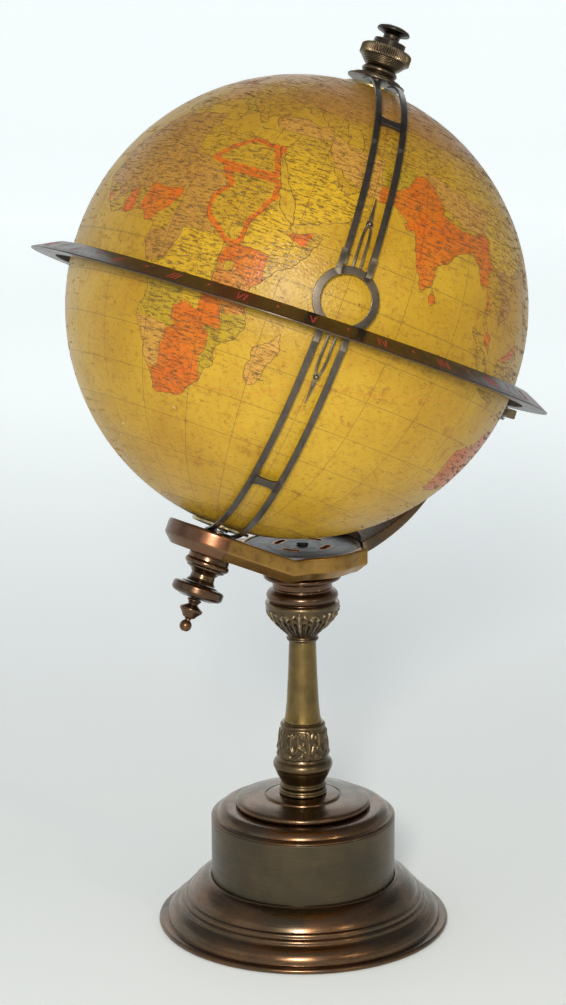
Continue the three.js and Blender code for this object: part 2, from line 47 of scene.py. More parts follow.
# ---- places, taken from the frame ----
GLOBE_JOINT = next(joint for joint in frame["joints"] if joint["name"] == "globe_spin")
GLOBE_CENTRE = Vector(GLOBE_JOINT["pos_m"])
POLE = Vector(GLOBE_JOINT["axis"]).normalized()
TILT = math.atan2(POLE.x, POLE.z)
ON_STAND = Matrix.Identity(4)
ON_POLE = Matrix.Translation(GLOBE_CENTRE) @ Matrix.Rotation(TILT, 4, "Y")


def bearing_about_pole(node):
    """The direction of a piece's middle about the pole."""
    corners = frame["nodes"][node].data.vertices
    middle = sum((corner.co for corner in corners), Vector()) / len(corners)
    across = ON_POLE.inverted() @ middle
    return math.atan2(across.y, across.x)


ON_MERIDIAN = ON_POLE @ Matrix.Rotation(bearing_about_pole("lower_band"), 4, "Z")
RING_LEAN = Matrix.Rotation(math.radians(-2.57), 4, "Y") @ Matrix.Rotation(math.radians(1.3), 4, "X")
ON_RING = ON_POLE @ RING_LEAN

# ---- dimensions shared by several pieces ----
GLOBE_RADIUS = 127
ROD_BORE = 3.3
TIE_BORE = 4.3
DRUM_RADIUS = 53
HEAD_TOP, HEAD_UNDERSIDE = 224, 210.5
PLATE_TOP, PLATE_UNDERSIDE = -131.2, -144.3
BOSS_RADIUS = 28
SHOULDER = -8
HEAD_END = 24
DIAL_FLOOR, DIAL_RADIUS = 221, 33
PIN_HEAD_ROOM = 8.3
HUB_ROOM_RADIUS, HUB_ROOM_FLOOR = 19, -134.6
TONGUE_START, TONGUE_END = 10, 29
TONGUE_BOTTOM, TONGUE_TOP, TONGUE_HALF_WIDTH = 213.6, 219.2, 14
RAIL_INNER, RAIL_OUTER = 130, 131.3
RAIL_OFFSET, RAIL_WIDTH = 7.2, 3.4
OVERLAY_INNER, OVERLAY_OUTER = 131.7, 133
CAP_RADIUS = 16.4
FOOT_INNER, FOOT_OUTER = 135.4, 140.6
FOOT_BOTTOM, FOOT_TOP = -20.2, -15
RING_BORE, RING_EDGE = 134.5, 148.4
RING_UNDERSIDE, RING_SHOULDER = -13.6, -6.1
RING_SCREW_ANGLE = math.radians(14)
GREENWICH = math.radians(-174.46)          # bearing of longitude 0 about the pole, at rest

# ---- the globe's print ----
LAST_ROW = 88                              # latitude of the ball's last row of points before each pole
FIELD_REACH = 2.0                          # degrees from 0.5 at a field's outline to 0 outside or 1 inside
OUTLINE_BAND = 0.30                        # rise of the field across an orange border
PARALLEL_STEP, MERIDIAN_STEP = 10.0, 15.0  # degrees
SEA, SEA_DEEP = (0.55, 0.335, 0.020), (0.44, 0.240, 0.010)
# The first of these is painted shade toward the north pole, the ball's top at rest.
NORTH_SHADE_BROWN, STAIN, SCUFF = (0.46, 0.210, 0.036), (0.62, 0.42, 0.22), (0.78, 0.66, 0.42)
INK_BROWN, PRINT_BROWN = (0.085, 0.045, 0.015), (0.11, 0.055, 0.012)
TINTS = {
    "tan": (0.44, 0.215, 0.035),
    "yellow": (0.60, 0.36, 0.012),
    "green": (0.43, 0.29, 0.012),
    "buff": (0.56, 0.285, 0.05),
    "pink": (0.56, 0.12, 0.02),
    "orange": (0.62, 0.115, 0.004),
    "coral": (0.60, 0.20, 0.03),
}


# =================================================================== node helpers
def link_or_set(tree, socket, value):
    if isinstance(value, bpy.types.NodeSocket):
        tree.links.new(value, socket)
    elif value is not None:
        socket.default_value = value


def add(tree, kind, settings=None, **inputs):
    """A node with its settings and inputs. An input is a socket to link or a value, and _ is a space."""
    node = tree.nodes.new("ShaderNode" + kind)
    for key, value in (settings or {}).items():
        setattr(node, key, value)
    for key, value in inputs.items():
        link_or_set(tree, node.inputs[key.replace("_", " ")], value)
    return node


def maths(tree, operation, first, second=0.0, clamp=False):
    node = tree.nodes.new("ShaderNodeMath")
    node.operation = operation
    node.use_clamp = clamp
    for socket, value in zip(node.inputs, (first, second)):
        link_or_set(tree, socket, value)
    return node.outputs[0]


def mixed(tree, share, first, second, blend="MIX"):
    node = tree.nodes.new("ShaderNodeMix")
    node.data_type = "RGBA"
    node.blend_type = blend
    link_or_set(tree, node.inputs[0], share)
    link_or_set(tree, node.inputs[6], first if isinstance(first, bpy.types.NodeSocket) else (*first, 1))
    link_or_set(tree, node.inputs[7], second if isinstance(second, bpy.types.NodeSocket) else (*second, 1))
    return node.outputs[2]


def spread(tree, value, low, high, bottom=0.0, top=1.0):
    """Bottom where the value is low, top where it is high, and a smooth step between them."""
    node = tree.nodes.new("ShaderNodeMapRange")
    node.interpolation_type = "SMOOTHSTEP"
    for socket, number in zip(node.inputs, (value, low, high, bottom, top)):
        link_or_set(tree, socket, number)
    return node.outputs[0]


def noise(tree, where, scale, detail=4.0, rough=0.55, stretch=None):
    if stretch:
        where = add(tree, "Mapping", Vector=where, Scale=stretch).outputs[0]
    return add(tree, "TexNoise", Vector=where, Scale=scale, Detail=detail, Roughness=rough).outputs[0]


def reach_along(tree, where, direction):
    """How far a place lies along a direction."""
    node = add(tree, "VectorMath", {"operation": "DOT_PRODUCT"})
    link_or_set(tree, node.inputs[0], where)
    node.inputs[1].default_value = direction
    return node.outputs["Value"]


def new_material(name):
    material = bpy.data.materials.new(name)
    material.use_nodes = True
    tree = material.node_tree
    shader = tree.nodes["Principled BSDF"]
    where = tree.nodes.new("ShaderNodeTexCoord").outputs["Object"]
    return material, tree, shader, where


# =================================================================== materials
def metal(name, base, tone, bright, rough=0.36, stretch=(1, 1, 1), streak=0.25, side_gold=None):
    """Patinated metal: two tones in soft clouds, streaks along the tool marks, dark hollows, and raised
    relief and edges lighter, as rubbed wear with a painted highlight.
    """
    material, tree, shader, where = new_material(name)
    clouds = spread(tree, noise(tree, where, 34, 5, 0.62), 0.36, 0.66)
    colour = mixed(tree, clouds, base, tone)
    # The head casting is golden on its flat sides and dark brown on its round end.
    if side_gold:
        colour = mixed(tree, side_gold_share(tree, where), colour, side_gold_colour(tree, where, side_gold))
    marks = noise(tree, where, 1.0, 6, 0.7, stretch)
    dark = tuple(0.45 * channel for channel in base)
    colour = mixed(tree, maths(tree, "MULTIPLY", spread(tree, marks, 0.5, 0.72), streak), colour, dark)
    relief = add(tree, "Attribute", {"attribute_name": "relief"}).outputs["Fac"]
    colour = mixed(tree, spread(tree, relief, -0.05, -0.75, 0, 0.85), colour, dark)
    # Raised relief and sharp edges turn lighter: rubbed wear together with a painted highlight.
    colour = mixed(tree, spread(tree, relief, 0.25, 1.2, 0, 0.75), colour, bright)
    edges = add(tree, "NewGeometry").outputs["Pointiness"]
    worn_and_glint = maths(tree, "MULTIPLY", spread(tree, edges, 0.515, 0.58), noise(tree, where, 160, 3), clamp=True)
    colour = mixed(tree, worn_and_glint, colour, bright)
    specks = noise(tree, where, 420, 4, 0.7)
    colour = mixed(tree, spread(tree, specks, 0.62, 0.78, 0, 0.35), colour, dark)
    tree.links.new(colour, shader.inputs["Base Color"])
    tree.links.new(spread(tree, marks, 0.25, 0.75, rough - 0.07, rough + 0.11), shader.inputs["Roughness"])
    shader.inputs["Metallic"].default_value = 1.0
    shader.inputs["Coat Weight"].default_value = 0.3
    shader.inputs["Coat Roughness"].default_value = 0.16
    bump = add(tree, "Bump", Strength=0.12, Distance=0.0004, Height=mixed(tree, 0.5, marks, specks))
    tree.links.new(bump.outputs[0], shader.inputs["Normal"])
    return material


def side_gold_share(tree, where):
    """1 on the head's flat sides and 0 on its round end about the pole."""
    across_pole = (math.cos(TILT), 0, -math.sin(TILT))
    start = GLOBE_CENTRE.dot(Vector(across_pole)) + SHOULDER * MM
    return spread(tree, reach_along(tree, where, across_pole), start - 0.0008, start + 0.0012)


def side_gold_colour(tree, where, side_gold):
    shade = spread(tree, noise(tree, where, 60, 6, 0.6), 0.3, 0.7)
    return mixed(tree, shade, side_gold, tuple(0.66 * channel for channel in side_gold))


def plain(name, colour, other, rough, metallic=0.0, scale=300, bump=0.1):
    """A quiet two-tone surface, for felt, ink, steel and the parts inside."""
    material, tree, shader, where = new_material(name)
    grain = noise(tree, where, scale, 5, 0.65)
    tree.links.new(mixed(tree, spread(tree, grain, 0.35, 0.65), colour, other), shader.inputs["Base Color"])
    tree.links.new(spread(tree, grain, 0.3, 0.7, rough - 0.06, rough + 0.06), shader.inputs["Roughness"])
    shader.inputs["Metallic"].default_value = metallic
    relief = add(tree, "Bump", Strength=bump, Distance=0.0004, Height=grain)
    tree.links.new(relief.outputs[0], shader.inputs["Normal"])
    return material


def globe_paper():
    """Varnished map paper: tints from the mesh's own fields, a printed graticule, painted shade toward the
    north pole, stains and a fine grain.
    """
    material, tree, shader, where = new_material("map_paper")
    wobble = maths(tree, "MULTIPLY", maths(tree, "SUBTRACT", noise(tree, where, 260, 3), 0.5), 0.12)

    def field(name):
        value = add(tree, "Attribute", {"attribute_name": name}).outputs["Fac"]
        return maths(tree, "ADD", value, wobble)

    def inside(name, edge=0.5, soft=0.03):
        return spread(tree, field(name), edge - soft, edge + soft)

    tone = spread(tree, noise(tree, where, 14, 5, 0.6), 0.3, 0.7)
    colour = mixed(tree, tone, SEA, SEA_DEEP)
    for name, tint in TINTS.items():
        wash = spread(tree, noise(tree, where, 55, 5, 0.65), 0.25, 0.8, 0.68, 1.0)
        colour = mixed(tree, maths(tree, "MULTIPLY", inside(name), wash), colour, tint)
    band = maths(tree, "SUBTRACT", inside("outlined"), inside("outlined", 0.5 + OUTLINE_BAND, 0.05))
    colour = mixed(tree, maths(tree, "MULTIPLY", band, 0.86), colour, TINTS["orange"])

    colour = mixed(tree, maths(tree, "MULTIPLY", print_marks(tree, field), 0.72), colour, PRINT_BROWN)
    line = graticule_lines(tree)
    colour = mixed(tree, maths(tree, "MULTIPLY", line, 0.5), colour, INK_BROWN)

    latitude = add(tree, "Attribute", {"attribute_name": "latitude"}).outputs["Fac"]
    smoke = noise(tree, where, 9, 6, 0.6)
    # Painted shade: the paper turns browner toward the north pole, the ball's top at rest, with a cloudy
    # edge.
    north_shade = spread(tree, maths(tree, "ADD", latitude, maths(tree, "MULTIPLY", smoke, 40)), 44, 90, 0, 0.55)
    colour = mixed(tree, north_shade, colour, NORTH_SHADE_BROWN)
    colour = mixed(tree, spread(tree, smoke, 0.55, 0.78, 0, 0.4), colour, STAIN, "MULTIPLY")
    blotch = spread(tree, noise(tree, where, 95, 5, 0.7), 0.52, 0.74, 0, 0.5)
    colour = mixed(tree, blotch, colour, STAIN, "MULTIPLY")
    grime = spread(tree, noise(tree, where, 380, 4, 0.75), 0.48, 0.72, 0, 0.5)
    colour = mixed(tree, grime, colour, STAIN, "MULTIPLY")
    fleck = spread(tree, noise(tree, where, 210, 2, 0.5), 0.765, 0.80, 0, 0.75)
    colour = mixed(tree, fleck, colour, SCUFF)
    tree.links.new(colour, shader.inputs["Base Color"])

    leather = add(tree, "TexVoronoi", Vector=where, Scale=620.0, Randomness=1.0).outputs["Distance"]
    grain = mixed(tree, 0.4, leather, noise(tree, where, 1300, 3, 0.6))
    rough = spread(tree, noise(tree, where, 26, 4, 0.6), 0.3, 0.75, 0.30, 0.44)
    tree.links.new(rough, shader.inputs["Roughness"])
    shader.inputs["Coat Weight"].default_value = 0.04
    shader.inputs["Coat Roughness"].default_value = 0.3
    shader.inputs["Specular IOR Level"].default_value = 0.36
    bump = add(tree, "Bump", Strength=0.6, Distance=0.0004, Height=grain)
    tree.links.new(bump.outputs[0], shader.inputs["Normal"])
    return material


def map_directions(tree):
    """The mesh's own longitude and latitude, in degrees."""
    latitude = add(tree, "Attribute", {"attribute_name": "latitude"}).outputs["Fac"]
    east = add(tree, "Attribute", {"attribute_name": "east"}).outputs["Vector"]
    parts = add(tree, "SeparateXYZ", Vector=east)
    return maths(tree, "DEGREES", maths(tree, "ARCTAN2", parts.outputs["Y"], parts.outputs["X"])), latitude


def print_marks(tree, field):
    """Fine print too small to read: short dark dabs along the parallels, thick on land and thin at sea."""
    longitude, latitude = map_directions(tree)
    x, y = maths(tree, "MULTIPLY", longitude, 0.42), maths(tree, "MULTIPLY", latitude, 1.8)
    row = add(tree, "CombineXYZ", X=x, Y=y).outputs[0]
    dabs = noise(tree, row, 1.0, 3, 0.75)
    crowd = noise(tree, row, 0.09, 2, 0.5)
    land = spread(tree, field("land"), 0.42, 0.5)
    edge = maths(tree, "SUBTRACT", 0.655, maths(tree, "MULTIPLY", land, 0.095))
    edge = maths(tree, "SUBTRACT", edge, maths(tree, "MULTIPLY", crowd, 0.06))
    return spread(tree, dabs, edge, maths(tree, "ADD", edge, 0.035))


def graticule_lines(tree):
    """1 on the printed meridians and parallels, from the mesh's own latitude and longitude fields."""
    longitude, latitude = map_directions(tree)
    width = 0.13
    rows = maths(tree, "PINGPONG", latitude, PARALLEL_STEP / 2)
    on_row = spread(tree, rows, width, width * 0.4)
    across = maths(tree, "COSINE", maths(tree, "RADIANS", latitude))
    columns = maths(tree, "MULTIPLY", maths(tree, "PINGPONG", longitude, MERIDIAN_STEP / 2), across)
    on_column = spread(tree, columns, width, width * 0.4)
    return maths(tree, "MAXIMUM", on_row, on_column)


DARK_BRONZE = metal("dark_bronze", (0.165, 0.085, 0.040), (0.090, 0.066, 0.040), (0.55, 0.40, 0.22), 0.27,
                    (60, 60, 900), 0.4)
DRUM_BRONZE = metal("drum_bronze", (0.104, 0.075, 0.041), (0.072, 0.058, 0.034), (0.42, 0.31, 0.16), 0.40,
                    (50, 50, 1400), 0.4)
RED_BRONZE = metal("red_bronze", (0.150, 0.072, 0.034), (0.085, 0.054, 0.032), (0.50, 0.33, 0.18), 0.30,
                   (60, 60, 500), 0.4)
OLIVE_BRONZE = metal("olive_bronze", (0.262, 0.172, 0.050), (0.130, 0.084, 0.030), (0.70, 0.52, 0.22), 0.33,
                     (700, 700, 40), 0.55)
LEAF_BRONZE = metal("leaf_bronze", (0.150, 0.100, 0.042), (0.090, 0.062, 0.034), (0.56, 0.42, 0.23), 0.33,
                    (500, 500, 60), 0.4)
HEAD_BRONZE = metal("head_bronze", (0.195, 0.076, 0.032), (0.125, 0.066, 0.040), (0.50, 0.32, 0.15), 0.34,
                    (240, 240, 240), 0.4, side_gold=(0.40, 0.215, 0.046))
BLACK_BRASS = metal("blackened_brass", (0.036, 0.028, 0.021), (0.056, 0.041, 0.029), (0.40, 0.34, 0.26), 0.37,
                    (300, 300, 300), 0.3)
NUT_BRONZE = metal("nut_bronze", (0.150, 0.100, 0.056), (0.085, 0.064, 0.044), (0.50, 0.38, 0.20), 0.34,
                   (300, 300, 300), 0.35)
RING_BRASS = metal("ring_brass", (0.085, 0.056, 0.040), (0.055, 0.042, 0.034), (0.50, 0.45, 0.38), 0.42,
                   (90, 90, 90), 0.3)
PALE_BRASS = metal("pale_brass", (0.62, 0.50, 0.27), (0.42, 0.33, 0.16), (0.85, 0.78, 0.55), 0.28,
                   (200, 200, 200), 0.2)
DIAL_GREY = metal("dial_grey", (0.100, 0.108, 0.122), (0.075, 0.079, 0.087), (0.34, 0.34, 0.34), 0.50,
                  (400, 400, 400), 0.25)
STEEL = plain("steel", (0.36, 0.35, 0.33), (0.22, 0.21, 0.20), 0.34, 1.0, 260, 0.08)
BRASS_EDGE = plain("brass_edge", (0.62, 0.27, 0.07), (0.42, 0.17, 0.04), 0.35, 1.0, 400, 0.08)
FELT = plain("felt", (0.030, 0.055, 0.028), (0.018, 0.034, 0.018), 0.94, 0.0, 1800, 0.5)
CARD = plain("papier_mache", (0.36, 0.27, 0.17), (0.27, 0.20, 0.12), 0.9, 0.0, 500, 0.35)
INK = plain("map_ink", (0.060, 0.030, 0.008), (0.105, 0.054, 0.014), 0.5, 0.0, 700, 0.05)
PALE_INK = plain("name_ink", (0.15, 0.080, 0.016), (0.24, 0.135, 0.025), 0.5, 0.0, 700, 0.05)
RED_INK = plain("red_ink", (0.62, 0.15, 0.012), (0.52, 0.11, 0.01), 0.5, 0.0, 700, 0.05)
HOUR_RED = plain("hour_red", (0.38, 0.032, 0.024), (0.22, 0.03, 0.02), 0.5, 0.0, 700, 0.15)
DARK_LINES = plain("dark_lines", (0.03, 0.026, 0.022), (0.06, 0.05, 0.04), 0.6, 0.0, 700, 0.1)
TICK_BRASS = plain("tick_brass", (0.50, 0.40, 0.26), (0.34, 0.26, 0.16), 0.4, 1.0, 700, 0.1)


# =================================================================== mesh helpers
def volume_of(points, faces):
    """The volume inside closed faces, which is negative where they turn inward."""
    total = 0.0
    for face in faces:
        first = points[face[0]]
        for second, third in zip(face[1:], face[2:]):
            total += np.dot(first, np.cross(points[second], points[third]))
    return total / 6


def shell(name, points, faces, place, material):
    """A mesh object from points in millimetres, faces turned outward, smooth between its edges."""
    points = np.asarray(points, float)
    if volume_of(points, faces) < 0:
        faces = [list(reversed(face)) for face in faces]
    matrix = np.array(place)
    metres = points * MM @ matrix[:3, :3].T + matrix[:3, 3]
    mesh = bpy.data.meshes.new(name)
    mesh.from_pydata(metres.tolist(), [], faces)
    mesh.validate()
    mesh.materials.append(material)
    smooth(mesh)
    obj = bpy.data.objects.new(name, mesh)
    bpy.context.scene.collection.objects.link(obj)
    return obj


def smooth(mesh, crease=36):
    mesh.shade_smooth()
    mesh.set_sharp_from_angle(angle=math.radians(crease))


def settle(obj, body, nodes=()):
    """Gives a piece its body, and hides the CAD nodes it stands for."""
    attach(obj, body)
    if nodes:
        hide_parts(*nodes)
    return obj


def flat_shading(obj):
    """Keeps flat faces flat beside their rounded edges."""
    modifier = obj.modifiers.new("even_normals", "WEIGHTED_NORMAL")
    modifier.keep_sharp = True
    return obj


def carve(obj, tools, operation="DIFFERENCE"):
    """Cuts the tools out of obj, or joins them to it, and removes them."""
    for tool in tools:
        modifier = obj.modifiers.new("carve", "BOOLEAN")
        modifier.operation = operation
        modifier.solver = "EXACT"
        modifier.object = tool
        modifier.material_mode = "TRANSFER"
    bpy.context.view_layer.update()
    made = bpy.data.meshes.new_from_object(obj.evaluated_get(bpy.context.evaluated_depsgraph_get()))
    obj.modifiers.clear()
    obj.data = made
    made.name = obj.name
    smooth(made)
    for tool in tools:
        bpy.data.objects.remove(tool)
    return obj


def polar(radius, angle, centre=(0, 0)):
    return centre[0] + radius * math.cos(angle), centre[1] + radius * math.sin(angle)


def arc(centre, radius, start, end, step=9):
    """Points round a circle between two angles in degrees."""
    count = max(2, math.ceil(abs(end - start) / step))
    turns = [math.radians(start + (end - start) * i / count) for i in range(count + 1)]
    return [polar(radius, turn, centre) for turn in turns]


def eased(corners, fillet=0.3, steps=3):
    """The outline with its corners rounded, and a point next to each round on long flats. It is closed where
    its first corner is off the axis."""
    closed = corners[0][0] > 0
    result = []
    for i, corner in enumerate(corners):
        here = Vector(corner)
        if not closed and i in (0, len(corners) - 1):
            result.append(tuple(here))
            continue
        back = Vector(corners[i - 1]) - here
        ahead = Vector(corners[(i + 1) % len(corners)]) - here
        if back.length < 1e-6 or ahead.length < 1e-6:
            continue
        if math.pi - back.angle(ahead) < math.radians(20):
            result.append(tuple(here))
            continue
        reach = min(fillet, 0.4 * back.length, 0.4 * ahead.length)
        lengths = back.length, ahead.length
        back.normalize()
        ahead.normalize()
        if lengths[0] > 6 * reach:
            result.append(tuple(here + back * reach * 2))
        for step in range(steps + 1):
            part = step / steps
            result.append(tuple(here + back * reach * (1 - part) ** 2 + ahead * reach * part ** 2))
        if lengths[1] > 6 * reach:
            result.append(tuple(here + ahead * reach * 2))
    return result


def lathe(outline, sides=96, shape=None):
    """Points and faces turned about Z from (radius, height) corners. shape gives each point's new radius."""
    points, rows = [], []
    for radius, height in outline:
        if radius < 1e-6:
            rows.append([len(points)] * sides)
            points.append((0, 0, height))
            continue
        row = []
        for side in range(sides):
            angle = 2 * math.pi * side / sides
            reach = shape(angle, radius, height) if shape else radius
            row.append(len(points))
            points.append((*polar(reach, angle), height))
        rows.append(row)
    pairs = list(zip(rows, rows[1:]))
    if outline[0][0] > 0:
        pairs.append((rows[-1], rows[0]))
    faces = []
    for low, high in pairs:
        for side in range(sides):
            after = (side + 1) % sides
            face = list(dict.fromkeys((low[side], low[after], high[after], high[side])))
            if len(face) > 2:
                faces.append(face)
    return points, faces


def turned(name, outline, body, material, place=ON_STAND, sides=96, fillet=0.3, shape=None,
           relief=None):
    """A turned piece that stands for the CAD node of its name. relief adds height to its surface."""
    corners = eased(outline, fillet) if fillet else outline
    if relief:
        def shape(angle, radius, height):
            return radius + relief(angle, radius, height)
    points, faces = lathe(corners, sides, shape)
    obj = shell(name, points, faces, place, material)
    if relief:
        heights = []
        for radius, height in corners:
            turns = 1 if radius < 1e-6 else sides
            heights += [relief(2 * math.pi * side / sides, radius, height) for side in range(turns)]
        attribute = obj.data.attributes.new("relief", "FLOAT", "POINT")
        attribute.data.foreach_set("value", heights)
    return settle(obj, body, [name.replace("_fine", "")])


def loft(sections, allround=False):
    """Points and faces through closed sections of equal length, with filled ends unless it goes all round."""
    count = len(sections[0])
    points = [point for section in sections for point in section]
    faces = []
    for s in range(len(sections) if allround else len(sections) - 1):
        base, following = s * count, ((s + 1) % len(sections)) * count
        for c in range(count):
            d = (c + 1) % count
            faces.append([base + c, base + d, following + d, following + c])
    if not allround:
        last = (len(sections) - 1) * count
        faces.append(list(reversed(range(count))))
        faces.append([last + c for c in range(count)])
    return points, faces


def rounded_box(half_width, low, high, fillet, steps=3):
    """A closed section with round corners: across from -half_width to half_width, and from low to high."""
    fillet = min(fillet, 0.45 * half_width, 0.45 * (high - low))
    section = []
    for side, level, start in ((1, high, 0), (-1, high, 90), (-1, low, 180), (1, low, 270)):
        middle = side * (half_width - fillet), level - fillet if level == high else level + fillet
        for step in range(steps + 1):
            section.append(polar(fillet, math.radians(start + 90 * step / steps), middle))
    return section


# =================================================================== stand
def base_flange():
    outline = [
        (TIE_BORE, 15), (66, 15), (70, 2.4), (77, 2.4), (77, 0.5), (82.6, 0.5),
        *arc((82.4, 1.9), 1.5, -60, 90), (79.6, 3.4), *arc((71, 3.6), 8, 0, 80), (71.2, 12.2), (71.3, 13.6),
            (70.7, 14.5), (69.1, 15),
        (69, 16.5), (68.5, 17.4), (66.9, 17.8), *arc((51.6, 11.25), 16.7, 24.6, 78.3),
        (54.4, 28.2), (DRUM_RADIUS + 0.1, 28.2), (DRUM_RADIUS + 0.1, 26.5), (TIE_BORE, 26.5),
    ]
    turned("base_flange_fine", outline, "stand", DARK_BRONZE, sides=192, fillet=0.5)


def base_drum():
    outline = [(DRUM_RADIUS - 3, 26.8), (DRUM_RADIUS, 26.8), (DRUM_RADIUS, 63.4), (DRUM_RADIUS - 3, 63.4)]
    turned("base_drum_fine", outline, "stand", DRUM_BRONZE, sides=192, fillet=0.25)


def base_cap():
    outline = [
        (TIE_BORE, 63.7), (DRUM_RADIUS, 63.7), (DRUM_RADIUS, 64.3), (52.2, 64.9), (50.6, 65.4),
        *arc((43.6, 63.4), 6.6, 18, 92), (37.2, 69.9), *arc((36.9, 71.8), 2.0, -60, 72), (34.6, 74.1),
        (31.5, 74.7), (27, 75.1), (22.3, 75.4), (21.9, 74.9), (21.3, 74.9), (21.1, 75.6), (20.4, 76.1),
        (17, 76.7), (14, 77), (TIE_BORE, 77),
    ]
    turned("base_cap_fine", outline, "stand", DARK_BRONZE, sides=192, fillet=0.35)


def column_foot():
    outline = [
        (TIE_BORE, 77.3), (13.6, 77.3), (13.8, 78.3), *arc((12.4, 79.6), 1.3, -30, 80), (12.1, 81.4),
        *arc((12.4, 82.4), 1.2, -50, 60), (12.5, 84), (12.9, 85.2), (13.8, 86.8), (15.1, 89.2), (15.9, 91),
        *arc((13.2, 94.6), 3.9, -40, 60), (14.6, 99), (14.4, 99.7), (TIE_BORE, 99.7),
    ]
    turned("column_foot_fine", outline, "stand", LEAF_BRONZE, sides=128)


def bell(value, width):
    return math.exp(-(value / width) ** 2)


def collar_relief(angle, radius, height):
    """Upright leaves with a midrib and curled lobes, and between them a tongue with a raised U-shaped rim."""
    if radius < 10 or not 100.4 < height < 117:
        return 0.0
    rise = (height - 100.4) / 16.6
    motifs = 5
    turn = (angle * motifs / math.pi) % 2 - 1
    leaf = abs(turn)
    lobes = 0.60 - 0.22 * rise + 0.12 * math.sin(rise * 17)
    on_leaf = 1 / (1 + math.exp((leaf - lobes) * 26))
    veins = 0.30 * math.cos(leaf * 17 - rise * 13)
    leaf_height = on_leaf * (0.45 + 0.55 * bell(leaf, 0.08) + veins)
    curls = 0.75 * bell(leaf - lobes, 0.10) * (0.5 + 0.5 * math.sin(rise * 17 + 0.6))
    tongue_side, tongue_rise = (1 - leaf) / 0.34, (rise - 0.56) / 0.46
    tongue = math.hypot(tongue_side, min(tongue_rise, 0) * 1.1)
    rim = 0.9 * bell(tongue - 0.76, 0.2) * (1 if rise < 0.9 else 0)
    scroll = math.hypot((1 - leaf) / 0.16, (rise - 0.74) / 0.13)
    knot = 0.6 * bell(scroll - 0.9, 0.35) + 0.4 * bell(scroll, 0.4)
    ends = min(1, rise * 9, (1 - rise) * 9)
    return 0.9 * ends * (leaf_height + curls + (1 - on_leaf) * (rim + 0.6 * knot) - 0.6)


def leaf_collar():
    face = [(15.1 - 0.012 * i * i, 100.4 + 0.9 * i) for i in range(10)]
    waist = [(14.1, 109.6), (14.0, 111.2), (13.9, 112.8), (13.7, 114.2), (13.3, 115.6), (12.9, 116.6)]
    outline = [(TIE_BORE, 100), (14.8, 100), *face, *waist, (12.6, 117.1), (12.9, 117.7), (12.9, 118.5),
               (12.5, 119.2), (11.8, 119.7), (11.5, 120.1), (TIE_BORE, 120.1)]
    dense = [outline[0]]
    for start, end in zip(outline, outline[1:]):
        pieces = 3 if start[0] > 10 and end[0] > 10 else 1
        dense += [tuple(Vector(start).lerp(Vector(end), (i + 1) / pieces)) for i in range(pieces)]
    turned("leaf_collar_fine", dense, "stand", LEAF_BRONZE, sides=288, fillet=0,
           relief=collar_relief)


def column_shaft():
    outline = [(TIE_BORE, 120.4), (10.8, 120.4), (10.5, 121.6), (10, 124), (9.6, 127.6), (9.2, 132),
               (8.75, 141), (8.3, 150), (8.0, 159), (7.7, 167.7), (TIE_BORE, 167.7)]
    turned("column_shaft_fine", outline, "stand", OLIVE_BRONZE, sides=128)


def capital_relief(angle, radius, height):
    """Fluted leaves that spread up the vase and curl over at their tips, with small leaves between them."""
    if radius < 8.3 or not 171 < height < 188.6:
        return 0.0
    rise = (height - 171) / 17.6
    leaves, flutes = 7, 5
    turn = (angle * leaves / math.pi) % 2 - 1
    top = 0.96 - 0.26 * abs(turn) ** 1.5
    within = 1 / (1 + math.exp((rise - top) * 40))
    flute = 0.5 - 0.5 * math.cos((turn * flutes + flutes) * math.pi)
    tip = bell(rise - top + 0.05, 0.055) * (0.30 + 0.70 * flute)
    rib = 0.6 * bell(turn, 0.07)
    between = -0.6 * bell(abs(turn) - 1, 0.07)
    veins = 0.22 * math.sin(rise * 26 - abs(turn) * 9) * min(1, rise * 2)
    body = within * (0.10 + 0.70 * flute * min(1, rise * 3) + rib + between + veins)
    small = math.hypot((1 - abs(turn)) / 0.3, (rise - 0.78) / 0.13)
    bud = 0.75 * bell(small - 0.6, 0.34)
    return 0.9 * min(1, rise * 8, (1 - rise) * 12) * (body + 0.85 * tip + bud * (1 - within) - 0.45 * within)


def capital_vase():
    flank = [(8.4, 170.8), (9.1, 171.6), (10.0, 172.6), (12.6, 175.2), (14.1, 176.7), (15.6, 178.2),
             (17.0, 179.8), (18.2, 181.4), (19.1, 183), (19.8, 184.6), (20.3, 186.2), (20.7, 187.8),
                 (20.9, 188.7)]
    dense = []
    for start, end in zip(flank, flank[1:]):
        dense += [tuple(Vector(start).lerp(Vector(end), i / 5)) for i in range(5)]
    outline = [(TIE_BORE, 168), (8.4, 168), *arc((8.2, 169.3), 1, -70, 70), *dense, (20.9, 188.7),
               (21.2, 189.4), (21.1, 190.4), (20.8, 191), (20.3, 191.3), (TIE_BORE, 191.3)]
    turned("capital_vase_fine", outline, "stand", LEAF_BRONZE, sides=320, fillet=0,
           relief=capital_relief)


def capital_bead():
    outline = [(TIE_BORE, 191.6), (18.4, 191.6), *arc((17.2, 194.8), 3.2, -70, 70), (16.9, 198.6),
               (16.9, 199.5), (TIE_BORE, 199.5)]
    turned("capital_bead_fine", outline, "stand", RED_BRONZE, sides=128)


def column_flange():
    outline = [(TIE_BORE, 199.8), (16.9, 199.8), (16.9, 201.4), (17.3, 203), (18.4, 204.2), (20.6, 204.6),
               *arc((20.6, 206), 1.5, -60, 70), (19, 208), (TIE_BORE, 208)]
    turned("column_flange_fine", outline, "stand", RED_BRONZE, sides=128)


